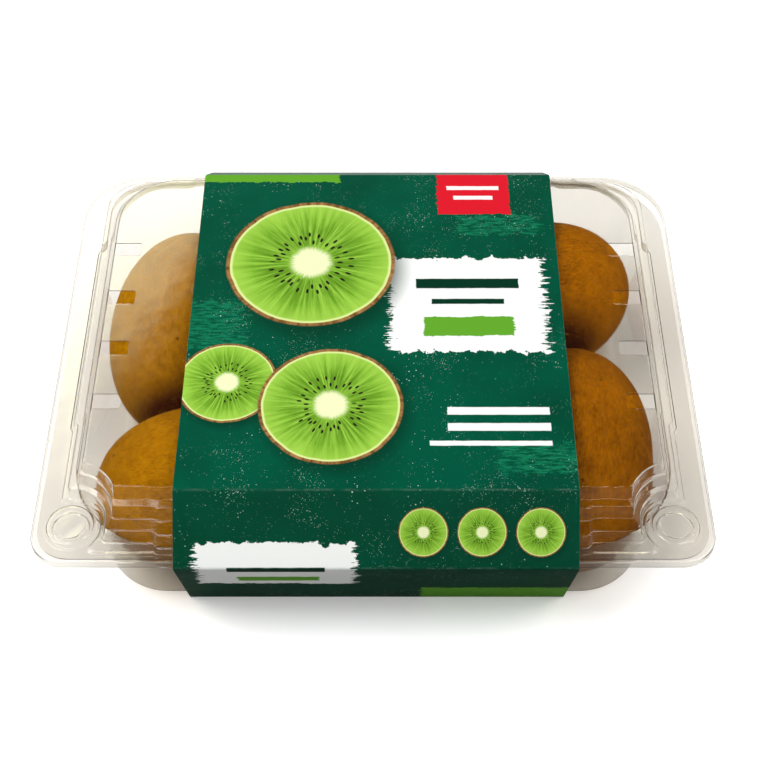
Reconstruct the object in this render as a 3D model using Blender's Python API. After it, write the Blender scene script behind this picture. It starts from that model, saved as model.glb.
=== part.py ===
"""A shut clear clamshell pack of whole kiwifruit, held by a card sleeve.

Metres, +Z up.  The origin lies on the ground under the middle of the pack.  The
front, with its two snap buttons, faces -Y, and the fold hinge is at +Y.  The
plastic is one formed sheet: tray, fold and lid.  Its sizes below are those of
the middle of the sheet, which then gets its thickness to both sides.
"""

import math

import bmesh
import bpy
import numpy as np

MM = 0.001
SHARP_ANGLE = math.radians(35.0)

# Plastic sheet and its flanges
SHEET = 0.45 * MM
PACK_WIDTH = 184.0 * MM
PACK_DEPTH = 146.8 * MM
FLANGE_HEIGHT = 36.6 * MM
FLANGE_GAP = 1.0 * MM
FLANGE_FRONT_RADIUS = 9.0 * MM
FLANGE_BACK_RADIUS = 19.0 * MM
LIP_DROP = 2.4 * MM
LIP_FLARE = 0.1 * MM
TRAY_FLANGE_INSET = 1.4 * MM
TRAY_FLANGE_BACK_RADIUS = 25.0 * MM
HINGE_HALF_WIDTH = 64.0 * MM
HINGE_STEPS = 5

# Lid: it narrows from its foot on the flange to its flat top
LID_RISE = 12.5 * MM
LID_FOOT = dict(side=83.0 * MM, front=67.2 * MM, back=67.0 * MM, corner=13.0 * MM, bite=9.3 * MM)
LID_TOP = dict(side=77.7 * MM, front=57.6 * MM, back=58.4 * MM, corner=18.0 * MM, bite=13.4 * MM)
# Two ledges in its wall: share of the rise, and share of the way from foot to top
LID_STEPS = ((0.0, 0.0), (0.34, 0.09), (0.36, 0.52), (0.66, 0.64), (0.69, 0.87), (1.0, 1.0))
# The middle of each wall stands proud of its ends
FRONT_LUG_HALF_WIDTH = 57.8 * MM
FRONT_LUG_DEPTH = 1.8 * MM
SIDE_LUG_FRONT = -29.0 * MM
SIDE_LUG_BACK = 38.0 * MM
SIDE_LUG_DEPTH = 1.3 * MM
LUG_SLOPE = 2.0 * MM
CORNER_STEPS = 8
BITE_STEPS = 9

# Snap buttons at the front corners, and the vent slots along both sides of the lid
BUTTON_X = 81.1 * MM
BUTTON_Y = -62.6 * MM
BUTTON_PROFILE = ((6.9 * MM, 0.0), (6.2 * MM, 1.8 * MM), (4.4 * MM, 1.8 * MM), (3.9 * MM, 1.3 * MM))
STUD_PROFILE = ((5.5 * MM, 0.0), (4.9 * MM, 1.2 * MM))
BUTTON_SIDES = 20
VENT_INNER_X = 69.6 * MM
VENT_OUTER_X = 80.5 * MM
VENT_LENGTH = 5.2 * MM
VENT_PITCH = 19.2 * MM
VENT_MIDDLE_Y = -0.3 * MM
VENT_COUNT = 4
VENT_FLOOR = 46.6 * MM
VENT_ROOF = 52.0 * MM

# Tray
TRAY_FLOOR = 0.95 * MM
TRAY_BEND = 4.0 * MM
TRAY_BEND_STEPS = 3
TRAY_BOTTOM_HALF = (73.6 * MM, 58.2 * MM)
TRAY_RIM_HALF = (82.6 * MM, 67.4 * MM)
# Corner radii of the flat bottom, of the wall's foot and of the rim, where the studs need room
TRAY_FRONT_RADII = (15.0 * MM, 19.0 * MM, 28.0 * MM)
TRAY_BACK_RADII = (9.0 * MM, 13.0 * MM, 15.0 * MM)

# Card sleeve: six panels round the pack
CARD = 0.4 * MM
SLEEVE_WIDTH = 107.2 * MM
SLEEVE_SHIFT = 0.9 * MM
SLEEVE_FLOOR_HALF = 62.2 * MM
SLEEVE_NOSE_HALF = 75.3 * MM
SLEEVE_NOSE_HEIGHT = 36.3 * MM
SLEEVE_TOP_HALF = 59.6 * MM
SLEEVE_HEIGHT = 50.1 * MM
FOLD_RADIUS = 1.0 * MM
NOSE_RADIUS = 1.2 * MM
FOLD_STEPS = 4

# Whole fruit: middle in plan, turn and tilt in degrees, then width, length and height
FRUIT_FLOOR = 1.6 * MM
FRUITS = {
    "fruit_back_left": ((-57.2, 16.6), -3.0, 8.0, (45.7, 68.6, 45.3)),
    "fruit_back_middle": ((-8.6, 24.0), 4.0, -3.0, (46.0, 62.0, 45.0)),
    "fruit_back_right": ((49.2, 29.0), 119.0, 1.0, (48.4, 63.8, 46.0)),
    "fruit_front_left": ((-46.4, -40.8), 93.0, -2.0, (47.8, 64.0, 46.0)),
    "fruit_front_middle": ((10.6, -34.2), -6.0, 4.0, (45.0, 59.0, 44.6)),
    "fruit_front_right": ((57.2, -30.6), -3.0, 9.0, (45.7, 67.6, 45.3)),
}
FRUIT_RINGS = 18
FRUIT_SIDES = 28
FRUIT_FULLNESS = 0.95
FRUIT_LUMP = 0.012
STEM_DIMPLE = 1.0 * MM
TIP_COLLAR = 0.4 * MM
END_SPREAD = 0.22


def make_material(name, colour, roughness, alpha=1.0):
    """One Principled finish in a plain colour."""
    material = bpy.data.materials.new(name)
    material.use_nodes = True
    shader = material.node_tree.nodes["Principled BSDF"]
    shader.inputs["Base Color"].default_value = (*colour, 1.0)
    shader.inputs["Roughness"].default_value = roughness
    shader.inputs["Metallic"].default_value = 0.0
    shader.inputs["Alpha"].default_value = alpha
    return material


def make_object(name, bm, material=None):
    """Turn a bmesh into a named object of the scene, smooth but for its sharp edges."""
    bmesh.ops.recalc_face_normals(bm, faces=bm.faces[:])
    mesh = bpy.data.meshes.new(name)
    bm.to_mesh(mesh)
    bm.free()
    mesh.shade_smooth()
    mesh.set_sharp_from_angle(angle=SHARP_ANGLE)
    if material:
        mesh.materials.append(material)
    made = bpy.data.objects.new(name, mesh)
    bpy.context.scene.collection.objects.link(made)
    return made


def arc(centre, radius, start, end, steps):
    """Points on an arc, both ends included, angles in radians."""
    angles = [start + (end - start) * i / steps for i in range(steps + 1)]
    return [(centre[0] + radius * math.cos(a), centre[1] + radius * math.sin(a)) for a in angles]


def mix(low, high, share):
    """The value a given share of the way from low to high."""
    return low + (high - low) * share


def rounded_outline(half_width, front, back, front_radius, back_radius, hinge=()):
    """Counter-clockwise outline with four round corners and extra points on its back edge."""
    left, right = -half_width, half_width
    outline = arc((left + front_radius, front + front_radius), front_radius,
                  math.pi, 1.5 * math.pi, CORNER_STEPS)
    outline += arc((right - front_radius, front + front_radius), front_radius,
                   1.5 * math.pi, 2.0 * math.pi, CORNER_STEPS)
    outline += arc((right - back_radius, back - back_radius), back_radius,
                   0.0, 0.5 * math.pi, CORNER_STEPS)
    outline += [(x, back) for x in hinge]
    outline += arc((left + back_radius, back - back_radius), back_radius,
                   0.5 * math.pi, math.pi, CORNER_STEPS)
    return outline


def lid_outline(share):
    """Outline of the lid's wall, a share of the way up from its foot to its top.

    Its front corners are bitten away round the buttons and its back corners
    are round.  Every outline has the same number of points.
    """
    side, front, back, corner, bite = (
        mix(LID_FOOT[key], LID_TOP[key], share) for key in ("side", "front", "back", "corner", "bite"))
    proud = 1.0 - share
    front_lug = front + FRONT_LUG_DEPTH * proud
    back_lug = back + FRONT_LUG_DEPTH * proud
    side_lug = side + SIDE_LUG_DEPTH * proud
    lug_out, lug_in = FRONT_LUG_HALF_WIDTH + LUG_SLOPE / 2, FRONT_LUG_HALF_WIDTH - LUG_SLOPE / 2
    across = math.asin((-front - BUTTON_Y) / bite)
    along = math.acos((side - BUTTON_X) / bite)
    right_half = arc((BUTTON_X, BUTTON_Y), bite, math.pi - across, along, BITE_STEPS)
    right_half += [(side, SIDE_LUG_FRONT - LUG_SLOPE), (side_lug, SIDE_LUG_FRONT), (side_lug, 0.0),
                   (side_lug, SIDE_LUG_BACK), (side, SIDE_LUG_BACK + LUG_SLOPE)]
    right_half += arc((side - corner, back - corner), corner, 0.0, 0.5 * math.pi, CORNER_STEPS)
    right_half += [(lug_out, back), (lug_in, back_lug), (0.0, back_lug)]
    left_half = [(-x, y) for x, y in reversed(right_half[:-1])]
    front_edge = [(-lug_out, -front), (-lug_in, -front_lug), (0.0, -front_lug),
                  (lug_in, -front_lug), (lug_out, -front)]
    return right_half + left_half + front_edge


def circle(x, y, radius, sides):
    """Points evenly round a circle."""
    return arc((x, y), radius, 0.0, 2.0 * math.pi * (sides - 1) / sides, sides - 1)


def add_loop(bm, outline, height):
    """Closed loop of new vertices over an outline."""
    return [bm.verts.new((x, y, height)) for x, y in outline]


def join_loops(bm, lower, upper, closed=True):
    """Quads between two loops with as many points."""
    pairs = range(len(lower) if closed else len(lower) - 1)
    count = len(lower)
    for i in pairs:
        j = (i + 1) % count
        bm.faces.new((lower[i], lower[j], upper[j], upper[i]))


def fill_between(bm, loops):
    """Flat sheet inside the first loop with the other loops as its holes."""
    edges = []
    for loop in loops:
        for first, second in zip(loop, loop[1:] + loop[:1]):
            edges.append(bm.edges.get((first, second)) or bm.edges.new((first, second)))
    bmesh.ops.triangle_fill(bm, edges=edges, use_beauty=True, normal=(0.0, 0.0, 1.0))


def add_raised_disc(bm, x, y, base, profile):
    """Round boss that rises off a flange, and the loop where it starts."""
    loops = [add_loop(bm, circle(x, y, radius, BUTTON_SIDES), base + rise) for radius, rise in profile]
    for lower, upper in zip(loops, loops[1:]):
        join_loops(bm, lower, upper)
    bm.faces.new(loops[-1])
    return loops[0]


def hinge_points():
    """Places along the back edge, from right to left, where lid and tray are joined."""
    return [HINGE_HALF_WIDTH * share for share in (1.0, 0.5, 0.0, -0.5, -1.0)]


def build_clamshell(material):
    """Tray, fold hinge and lid as one thin sheet with thickness."""
    bm = bmesh.new()
    fold = FLANGE_GAP / 2.0
    half_width = PACK_WIDTH / 2.0 - LIP_FLARE - SHEET / 2.0
    front = -(PACK_DEPTH / 2.0 - LIP_FLARE - SHEET / 2.0)
    back = PACK_DEPTH / 2.0 - fold - SHEET / 2.0
    hinge = hinge_points()

    lid_rim_outline = rounded_outline(
        half_width, front, back, FLANGE_FRONT_RADIUS, FLANGE_BACK_RADIUS, hinge)
    lid_rim = add_loop(bm, lid_rim_outline, FLANGE_HEIGHT)
    lid_loops = [add_loop(bm, lid_outline(share), FLANGE_HEIGHT + LID_RISE * rise)
                 for rise, share in LID_STEPS]
    buttons = [add_raised_disc(bm, x, BUTTON_Y, FLANGE_HEIGHT, BUTTON_PROFILE)
               for x in (-BUTTON_X, BUTTON_X)]
    fill_between(bm, [lid_rim, lid_loops[0], *buttons])
    for lower, upper in zip(lid_loops, lid_loops[1:]):
        join_loops(bm, lower, upper)
    bm.faces.new(lid_loops[-1])

    tray_flange = FLANGE_HEIGHT - FLANGE_GAP
    tray_rim = add_loop(bm, rounded_outline(
        half_width - TRAY_FLANGE_INSET, front + TRAY_FLANGE_INSET, back,
        FLANGE_FRONT_RADIUS, TRAY_FLANGE_BACK_RADIUS, hinge), tray_flange)
    studs = [add_raised_disc(bm, x, BUTTON_Y, tray_flange, STUD_PROFILE)
             for x in (-BUTTON_X, BUTTON_X)]
    tray_loops = [add_loop(bm, tray_outline(
        TRAY_RIM_HALF, TRAY_FRONT_RADII[2], TRAY_BACK_RADII[2]), tray_flange)]
    for i in range(TRAY_BEND_STEPS + 1):
        share = i / TRAY_BEND_STEPS
        angle = 0.5 * math.pi * share
        half = [size + TRAY_BEND * math.cos(angle) for size in TRAY_BOTTOM_HALF]
        outline = tray_outline(half, mix(TRAY_FRONT_RADII[1], TRAY_FRONT_RADII[0], share),
                               mix(TRAY_BACK_RADII[1], TRAY_BACK_RADII[0], share))
        tray_loops.append(add_loop(bm, outline, TRAY_FLOOR + TRAY_BEND * (1.0 - math.sin(angle))))
    fill_between(bm, [tray_rim, tray_loops[0], *studs])
    for lower, upper in zip(tray_loops, tray_loops[1:]):
        join_loops(bm, lower, upper)
    bm.faces.new(tray_loops[-1])

    # The hinge's points follow those of three corners
    first_hinge = 3 * (CORNER_STEPS + 1)
    add_hinge(bm, lid_rim[first_hinge:first_hinge + len(hinge)],
              tray_rim[first_hinge:first_hinge + len(hinge)], back, fold)
    add_lip(bm, lid_rim[first_hinge + len(hinge):] + lid_rim[:first_hinge])

    shell = make_object("clamshell", bm, material)
    thickness = shell.modifiers.new("Sheet", "SOLIDIFY")
    thickness.thickness = SHEET
    thickness.offset = 0.0
    thickness.use_even_offset = True
    vents = shell.modifiers.new("Vents", "BOOLEAN")
    vents.operation = "DIFFERENCE"
    vents.object = build_vent_cutter()
    return shell


def tray_outline(half, front_radius, back_radius):
    """Outline of the tray's wall, which reaches as far to the front as to the back."""
    return rounded_outline(half[0], -half[1], half[1], front_radius, back_radius)


def add_hinge(bm, lid_edge, tray_edge, back, radius):
    """Half-round fold that joins the back edges of the two flanges."""
    previous = lid_edge
    for i in range(1, HINGE_STEPS):
        angle = math.pi * i / HINGE_STEPS
        y = back + radius * math.sin(angle)
        height = FLANGE_HEIGHT - radius + radius * math.cos(angle)
        following = [bm.verts.new((vertex.co.x, y, height)) for vertex in lid_edge]
        join_loops(bm, previous, following, closed=False)
        previous = following
    join_loops(bm, previous, tray_edge, closed=False)


def add_lip(bm, rim):
    """Edge of the lid's flange, turned down and a little outwards, open at the hinge."""
    lower = []
    for vertex in rim:
        x, y, height = vertex.co
        reach = math.hypot(x, y)
        grown = (reach + LIP_FLARE) / reach
        lower.append(bm.verts.new((x * grown, y * grown, height - LIP_DROP)))
    join_loops(bm, rim, lower, closed=False)


def build_vent_cutter():
    """Row of blocks on each side that cut the slots through the lid's upper edge."""
    bm = bmesh.new()
    for side in (-1.0, 1.0):
        for i in range(VENT_COUNT):
            middle = VENT_MIDDLE_Y + (i - (VENT_COUNT - 1) / 2.0) * VENT_PITCH
            block = bmesh.ops.create_cube(bm, size=1.0)["verts"]
            size = (VENT_OUTER_X - VENT_INNER_X, VENT_LENGTH, VENT_ROOF - VENT_FLOOR)
            place = (side * (VENT_OUTER_X + VENT_INNER_X) / 2.0, middle,
                     (VENT_ROOF + VENT_FLOOR) / 2.0)
            bmesh.ops.scale(bm, vec=size, verts=block)
            bmesh.ops.translate(bm, vec=place, verts=block)
    cutter = make_object("vent_cutter", bm)
    cutter.hide_render = True
    cutter.display_type = "WIRE"
    return cutter


def round_fold(previous, corner, following, radius):
    """Arc that rounds off one corner of an outline of points in Y and Z."""
    to_previous = np.subtract(previous, corner)
    to_following = np.subtract(following, corner)
    to_previous /= np.linalg.norm(to_previous)
    to_following /= np.linalg.norm(to_following)
    half_angle = 0.5 * math.acos(float(np.dot(to_previous, to_following)))
    bisector = to_previous + to_following
    bisector /= np.linalg.norm(bisector)
    centre = np.add(corner, bisector * radius / math.sin(half_angle))
    start = np.add(corner, to_previous * radius / math.tan(half_angle)) - centre
    end = np.add(corner, to_following * radius / math.tan(half_angle)) - centre
    first = math.atan2(start[1], start[0])
    turn = (math.atan2(end[1], end[0]) - first + math.pi) % (2.0 * math.pi) - math.pi
    return arc(centre, radius, first, first + turn, FOLD_STEPS)


def build_sleeve(material):
    """Band of card folded round the shut pack, open at both ends."""
    corners = [(-SLEEVE_FLOOR_HALF, 0.0), (SLEEVE_FLOOR_HALF, 0.0),
               (SLEEVE_NOSE_HALF, SLEEVE_NOSE_HEIGHT), (SLEEVE_TOP_HALF, SLEEVE_HEIGHT),
               (-SLEEVE_TOP_HALF, SLEEVE_HEIGHT), (-SLEEVE_NOSE_HALF, SLEEVE_NOSE_HEIGHT)]
    profile = []
    for i, corner in enumerate(corners):
        at_nose = abs(corner[1] - SLEEVE_NOSE_HEIGHT) < MM
        profile += round_fold(corners[i - 1], corner, corners[(i + 1) % len(corners)],
                              NOSE_RADIUS if at_nose else FOLD_RADIUS)
    bm = bmesh.new()
    ends = []
    for x in (SLEEVE_SHIFT - SLEEVE_WIDTH / 2.0, SLEEVE_SHIFT + SLEEVE_WIDTH / 2.0):
        ends.append([bm.verts.new((x, y, z)) for y, z in profile])
    join_loops(bm, ends[0], ends[1])
    sleeve = make_object("sleeve", bm, material)
    thickness = sleeve.modifiers.new("Card", "SOLIDIFY")
    thickness.thickness = CARD
    thickness.offset = -1.0
    thickness.use_even_offset = True
    return sleeve


def fruit_surface(size, lump_turn):
    """Grid of points over one fruit, rings along local Y from stem end to tip.

    The outline is a slightly full oval.  The stem end sinks in a shallow
    dimple, and the tip carries a small collar.
    """
    width, length, height = (value * MM for value in size)
    along = np.linspace(0.0, math.pi, FRUIT_RINGS + 1)[1:-1, None]
    around = np.linspace(0.0, 2.0 * math.pi, FRUIT_SIDES, endpoint=False)[None, :]
    axis = np.sign(np.cos(along)) * np.abs(np.cos(along)) ** FRUIT_FULLNESS
    girth = np.sin(along) ** FRUIT_FULLNESS
    lump = 1.0 - FRUIT_LUMP + FRUIT_LUMP * np.sin(3.0 * around + lump_turn) * np.sin(along)
    x = 0.5 * width * girth * lump * np.cos(around)
    z = 0.5 * height * girth * lump * np.sin(around)
    y = 0.5 * length * axis * np.ones_like(around)
    near_axis = np.exp(-(girth / END_SPREAD) ** 2)
    y -= np.where(axis > 0.0, STEM_DIMPLE, -TIP_COLLAR) * near_axis
    return np.stack((x, y, z), axis=-1), length


def build_fruit(name, material, place, turn, tilt, size):
    """One whole fruit lying on the floor of the tray."""
    grid, length = fruit_surface(size, lump_turn=float(place[0]))
    bm = bmesh.new()
    loops = [[bm.verts.new(point) for point in ring] for ring in grid]
    for lower, upper in zip(loops, loops[1:]):
        join_loops(bm, lower, upper)
    for loop, end in ((loops[0], 0.5 * length - STEM_DIMPLE), (loops[-1], -0.5 * length)):
        pole = bm.verts.new((0.0, end, 0.0))
        for first, second in zip(loop, loop[1:] + loop[:1]):
            bm.faces.new((first, second, pole))
    fruit = make_object(name, bm, material)
    tilted = math.radians(tilt)
    half_height = 0.5 * MM * math.hypot(size[2] * math.cos(tilted), size[1] * math.sin(tilted))
    fruit.location = (place[0] * MM, place[1] * MM, FRUIT_FLOOR + half_height)
    fruit.rotation_euler = (tilted, 0.0, math.radians(turn))
    return fruit


def main():
    """Clear the scene and build the pack."""
    for old in list(bpy.data.objects):
        bpy.data.objects.remove(old, do_unlink=True)
    clear_plastic = make_material("clear_plastic", (0.90, 0.90, 0.87), 0.08, alpha=0.3)
    printed_card = make_material("printed_card", (0.01, 0.09, 0.05), 0.45)
    fruit_skin = make_material("fruit_skin", (0.33, 0.16, 0.02), 0.7)
    build_clamshell(clear_plastic)
    build_sleeve(printed_card)
    for name, (place, turn, tilt, size) in FRUITS.items():
        build_fruit(name, fruit_skin, place, turn, tilt, size)


main()
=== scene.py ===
"""Looks of a shut clear pack of whole kiwifruit with a printed card sleeve.

Sizes are in millimetres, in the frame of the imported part: +X to the right, -Y to
the front with its two snap buttons, +Z up.  Every surface is worked out as an
array of points, and is brought to metres when its mesh is made.
"""

import logging
import math
from dataclasses import dataclass
from enum import Enum

import bmesh
import bpy
import numpy as np
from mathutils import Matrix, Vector


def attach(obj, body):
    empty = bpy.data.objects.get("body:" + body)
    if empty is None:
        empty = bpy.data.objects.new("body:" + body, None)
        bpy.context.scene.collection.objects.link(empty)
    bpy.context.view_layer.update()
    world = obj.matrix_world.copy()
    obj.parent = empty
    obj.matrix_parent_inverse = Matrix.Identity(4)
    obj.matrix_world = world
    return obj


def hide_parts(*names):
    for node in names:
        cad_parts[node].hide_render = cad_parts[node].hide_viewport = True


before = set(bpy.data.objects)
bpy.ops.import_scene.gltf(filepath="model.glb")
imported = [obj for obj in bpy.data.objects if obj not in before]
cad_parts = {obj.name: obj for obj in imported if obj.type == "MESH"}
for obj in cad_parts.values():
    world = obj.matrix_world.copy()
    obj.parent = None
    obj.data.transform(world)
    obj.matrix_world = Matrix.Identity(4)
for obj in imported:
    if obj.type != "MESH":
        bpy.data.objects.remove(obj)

Array = np.ndarray
Colour = tuple[float, float, float]

MM = 0.001
# Points closer than this, in millimetres, become one when patches are merged
MERGE_DISTANCE = 0.004
SHARP_ANGLE = math.radians(38.0)
# Largest share of a straight line that the bend at one of its ends may take
BEND_SHARE = 0.48
WHITE: Colour = (1.0, 1.0, 1.0)
BLACK: Colour = (0.0, 0.0, 0.0)
LOG = logging.getLogger("fruit_pack")


def mix(low: Array | float, high: Array | float, share: Array | float) -> Array | float:
    """The value a given share of the way from low to high."""
    return low + (high - low) * share


def ease(share: Array) -> Array:
    """Share with a gentle start and end: 3 s^2 - 2 s^3, held between 0 and 1."""
    held = np.clip(share, 0.0, 1.0)
    return held * held * (3.0 - 2.0 * held)


def run(count: int) -> Array:
    """Evenly spaced shares from 0 up to, but without, 1, as one row."""
    return np.linspace(0.0, 1.0, count, endpoint=False)[None, :]


def eased_path(corners: Array, radius: Array | float, steps: int = 5, closed: bool = False) -> Array:
    """Path of straight lines with rounded corners.

    Each corner P gives way to the curve (1-t)^2 A + 2 t (1-t) P + t^2 B, where A
    and B lie on its two lines at the distance of an arc of the given radius:
    radius times the tangent of half the turn.

    Args:
        corners: Corner points, one a row.
        radius: Radius of the bends, one value or one a bend.
        steps: Points on each bend.
        closed: Whether the last corner is joined to the first.

    Returns:
        Points along the path, one a row.
    """
    lines = np.roll(corners, -1, axis=0) - corners if closed else np.diff(corners, axis=0)
    length = np.linalg.norm(lines, axis=1)
    unit = lines / length[:, None]
    before, after = (np.roll(unit, 1, axis=0), unit) if closed else (unit[:-1], unit[1:])
    short = np.minimum(np.roll(length, 1), length) if closed else np.minimum(length[:-1], length[1:])
    turn = np.arccos(np.clip(np.sum(before * after, axis=1), -1.0, 1.0))
    reach = np.minimum(radius * np.tan(0.5 * turn), BEND_SHARE * short)[:, None, None]
    bends = (corners if closed else corners[1:-1])[:, None]
    t = np.linspace(0.0, 1.0, steps)[None, :, None]
    start, end = bends - before[:, None] * reach, bends + after[:, None] * reach
    curves = (1.0 - t) ** 2 * start + 2.0 * t * (1.0 - t) * bends + t * t * end
    curves = curves.reshape(-1, corners.shape[1])
    return curves if closed else np.concatenate((corners[:1], curves, corners[-1:]))


def rings_towards(outline: Array, centre: Array, shares: Array) -> Array:
    """Outlines that shrink evenly from the given one to its centre, where share is 1."""
    return mix(outline[None], centre[None, None], shares[:, None, None])


def flat_points(x: Array | float, y: Array | float) -> Array:
    """Flat points from their X and Y, either of which may be one value for a whole row or column."""
    return np.stack(np.broadcast_arrays(x, y), axis=-1)


def lifted(flat: Array, height: Array | float) -> Array:
    """Flat points with a height as their third value: one for all, or an array with a last axis of 1."""
    return np.concatenate((flat, np.broadcast_to(height, flat.shape[:-1] + (1,))), axis=-1)


def rim_corner(start: float, end: float, edges: tuple[float, float], radius: float,
               counts: tuple[int, int, int]) -> Array:
    """Front right corner of a rim: along the front, round a quarter circle and back along the side.

    Args:
        start: X where it leaves the front stretch.
        end: Y where it meets the side stretch.
        edges: X of the side and Y of the front.
        radius: Radius of the quarter circle.
        counts: Columns of the three parts.

    Returns:
        Points, one a row.
    """
    side, front = edges
    before, round_columns, after = counts
    angle = mix(-0.5 * math.pi, 0.0, run(round_columns)[0])
    return np.concatenate((
        flat_points(mix(start, side - radius, run(before)[0]), front),
        flat_points(side + radius * (np.cos(angle) - 1.0), front + radius * (1.0 + np.sin(angle))),
        flat_points(side, np.linspace(front + radius, end, after))))


class Patchwork:
    """Grids of points that are gathered into one mesh."""

    def __init__(self) -> None:
        """Start with no patches."""
        self.points: list[Array] = []
        self.faces: list[Array] = []
        self.marks: list[Array] = []
        self.slots: list[Array] = []
        self.total = 0
        self.marked = False

    def add(self, grid: Array, around: bool = False, mark: Array | None = None, slot: int = 0) -> None:
        """Add quads between the neighbouring points of a grid.

        Args:
            grid: Points as rows x columns x 3.
            around: Whether the last column is joined to the first.
            mark: A flat place (u, v) of each point for a pattern, rows x columns x 2.
            slot: Material slot of the faces.
        """
        rows, columns = grid.shape[:2]
        index = self.total + np.arange(rows * columns).reshape(rows, columns)
        if around:
            index = np.concatenate((index, index[:, :1]), axis=1)
        quads = np.stack((index[:-1, :-1], index[:-1, 1:], index[1:, 1:], index[1:, :-1]), axis=-1)
        self.faces.append(quads.reshape(-1, 4))
        self.points.append(grid.reshape(-1, 3))
        self.marks.append(np.zeros((rows * columns, 2)) if mark is None else mark.reshape(-1, 2))
        self.marked = self.marked or mark is not None
        self.slots.append(np.full(len(self.faces[-1]), slot))
        self.total += rows * columns

    def mirror(self) -> None:
        """Add each patch's mirror image across the plane X = 0."""
        for grid, quads, mark, slots in list(zip(self.points, self.faces, self.marks, self.slots)):
            shift = self.total - quads.min()
            self.points.append(grid * (-1.0, 1.0, 1.0))
            self.faces.append(quads[:, ::-1] + shift)
            self.marks.append(mark)
            self.slots.append(slots)
            self.total += len(grid)

    def to_object(self, name: str, materials: list[bpy.types.Material],
                  recalculate: bool = True) -> bpy.types.Object:
        """Merge the patches' shared edges and poles, and make a smooth object.

        Args:
            name: Name of the object and of its mesh.
            materials: Materials in the order of the slots.
            recalculate: Whether the faces are turned outwards afterwards.

        Returns:
            The new object, linked to the scene, with a UV map called "print" if marks were given.
        """
        mesh = bpy.data.meshes.new(name)
        faces = np.concatenate(self.faces)
        mesh.from_pydata((np.concatenate(self.points) * MM).tolist(), [], faces.tolist())
        mesh.polygons.foreach_set("material_index", np.concatenate(self.slots).astype(np.int32))
        if self.marked:
            layer = mesh.uv_layers.new(name="print")
            corner_marks = np.concatenate(self.marks)[faces.reshape(-1)]
            layer.data.foreach_set("uv", corner_marks.astype(np.float32).ravel())
        bm = bmesh.new()
        bm.from_mesh(mesh)
        bmesh.ops.remove_doubles(bm, verts=bm.verts[:], dist=MERGE_DISTANCE * MM)
        if recalculate:
            bmesh.ops.recalc_face_normals(bm, faces=bm.faces[:])
        bm.to_mesh(mesh)
        bm.free()
        return link_mesh(name, mesh, materials)


def link_mesh(name: str, mesh: bpy.types.Mesh, materials: list[bpy.types.Material]) -> bpy.types.Object:
    """Put a mesh into the scene as a smooth object at the origin.

    Args:
        name: Name of the object.
        mesh: The mesh, in metres and in the pack's frame.
        materials: Materials in the order of the slots.

    Returns:
        The new object.
    """
    mesh.shade_smooth()
    mesh.set_sharp_from_angle(angle=SHARP_ANGLE)
    for material in materials:
        mesh.materials.append(material)
    made = bpy.data.objects.new(name, mesh)
    bpy.context.scene.collection.objects.link(made)
    return made


def bake_modifiers(made: bpy.types.Object) -> None:
    """Replace an object's mesh by what its modifiers make of it.

    Args:
        made: The object, which has no modifiers afterwards.
    """
    graph = bpy.context.evaluated_depsgraph_get()
    mesh = bpy.data.meshes.new_from_object(made.evaluated_get(graph))
    made.modifiers.clear()
    made.data = mesh


class Field:
    """A value in a node tree that ordinary arithmetic can be written with."""

    def __init__(self, tree: bpy.types.NodeTree, socket: bpy.types.NodeSocket) -> None:
        """Keep the tree and the socket that gives the value."""
        self.tree = tree
        self.socket = socket

    def math(self, operation: str, *others: "Field | float", clamp: bool = False) -> "Field":
        """Result of a Math node on this value and up to two others.

        Args:
            operation: What the node does.
            others: Its further inputs, fields or numbers.
            clamp: Whether the result is held between 0 and 1.

        Returns:
            The node's output.
        """
        node = self.tree.nodes.new("ShaderNodeMath")
        node.operation = operation
        node.use_clamp = clamp
        for socket, value in zip(node.inputs, (self, *others)):
            connect(self.tree, value, socket)
        return Field(self.tree, node.outputs[0])

    def __add__(self, other: "Field | float") -> "Field":
        """Sum."""
        return self.math("ADD", other)

    def __sub__(self, other: "Field | float") -> "Field":
        """Difference."""
        return self.math("SUBTRACT", other)

    def __mul__(self, other: "Field | float") -> "Field":
        """Product."""
        return self.math("MULTIPLY", other)

    def __truediv__(self, other: "Field | float") -> "Field":
        """Quotient."""
        return self.math("DIVIDE", other)

    def above(self, edge: "Field | float", soft: float) -> "Field":
        """0 below an edge and 1 above it, with a straight rise as wide as soft."""
        return ((self - edge) / soft).math("ADD", 0.5, clamp=True)

    def below(self, edge: "Field | float", soft: float) -> "Field":
        """1 below an edge and 0 above it, with a straight fall as wide as soft."""
        return self.above(edge, soft).math("MULTIPLY", -1.0) + 1.0

    def size(self) -> "Field":
        """Value without its sign."""
        return self.math("ABSOLUTE")

    def length(self, other: "Field") -> "Field":
        """Distance from zero of the flat vector (self, other)."""
        return (self * self + other * other).math("SQRT")


def connect(tree: bpy.types.NodeTree, value: "Field | float | tuple", socket: bpy.types.NodeSocket) -> None:
    """Link a field to a socket, or set the socket's own value.

    Args:
        tree: Tree that holds the socket.
        value: A field, a number or a colour.
        socket: The input that gets it.
    """
    if isinstance(value, Field):
        tree.links.new(value.socket, socket)
    elif isinstance(value, tuple) and len(value) == 3 and socket.type == "RGBA":
        socket.default_value = (*value, 1.0)
    else:
        socket.default_value = value


def noise(tree: bpy.types.NodeTree, place: Field, scale: float, detail: float = 3.0,
          rough: float = 0.55) -> Field:
    """Noise between 0 and 1 at a place.

    Args:
        tree: Tree that gets the noise node.
        place: Vector that the noise reads.
        scale: Blobs are about 1/scale wide.
        detail: Number of finer layers.
        rough: Strength of each finer layer over the one before.

    Returns:
        The noise.
    """
    node = tree.nodes.new("ShaderNodeTexNoise")
    node.inputs["Scale"].default_value = scale
    node.inputs["Detail"].default_value = detail
    node.inputs["Roughness"].default_value = rough
    tree.links.new(place.socket, node.inputs["Vector"])
    return Field(tree, node.outputs["Fac"])


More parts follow.
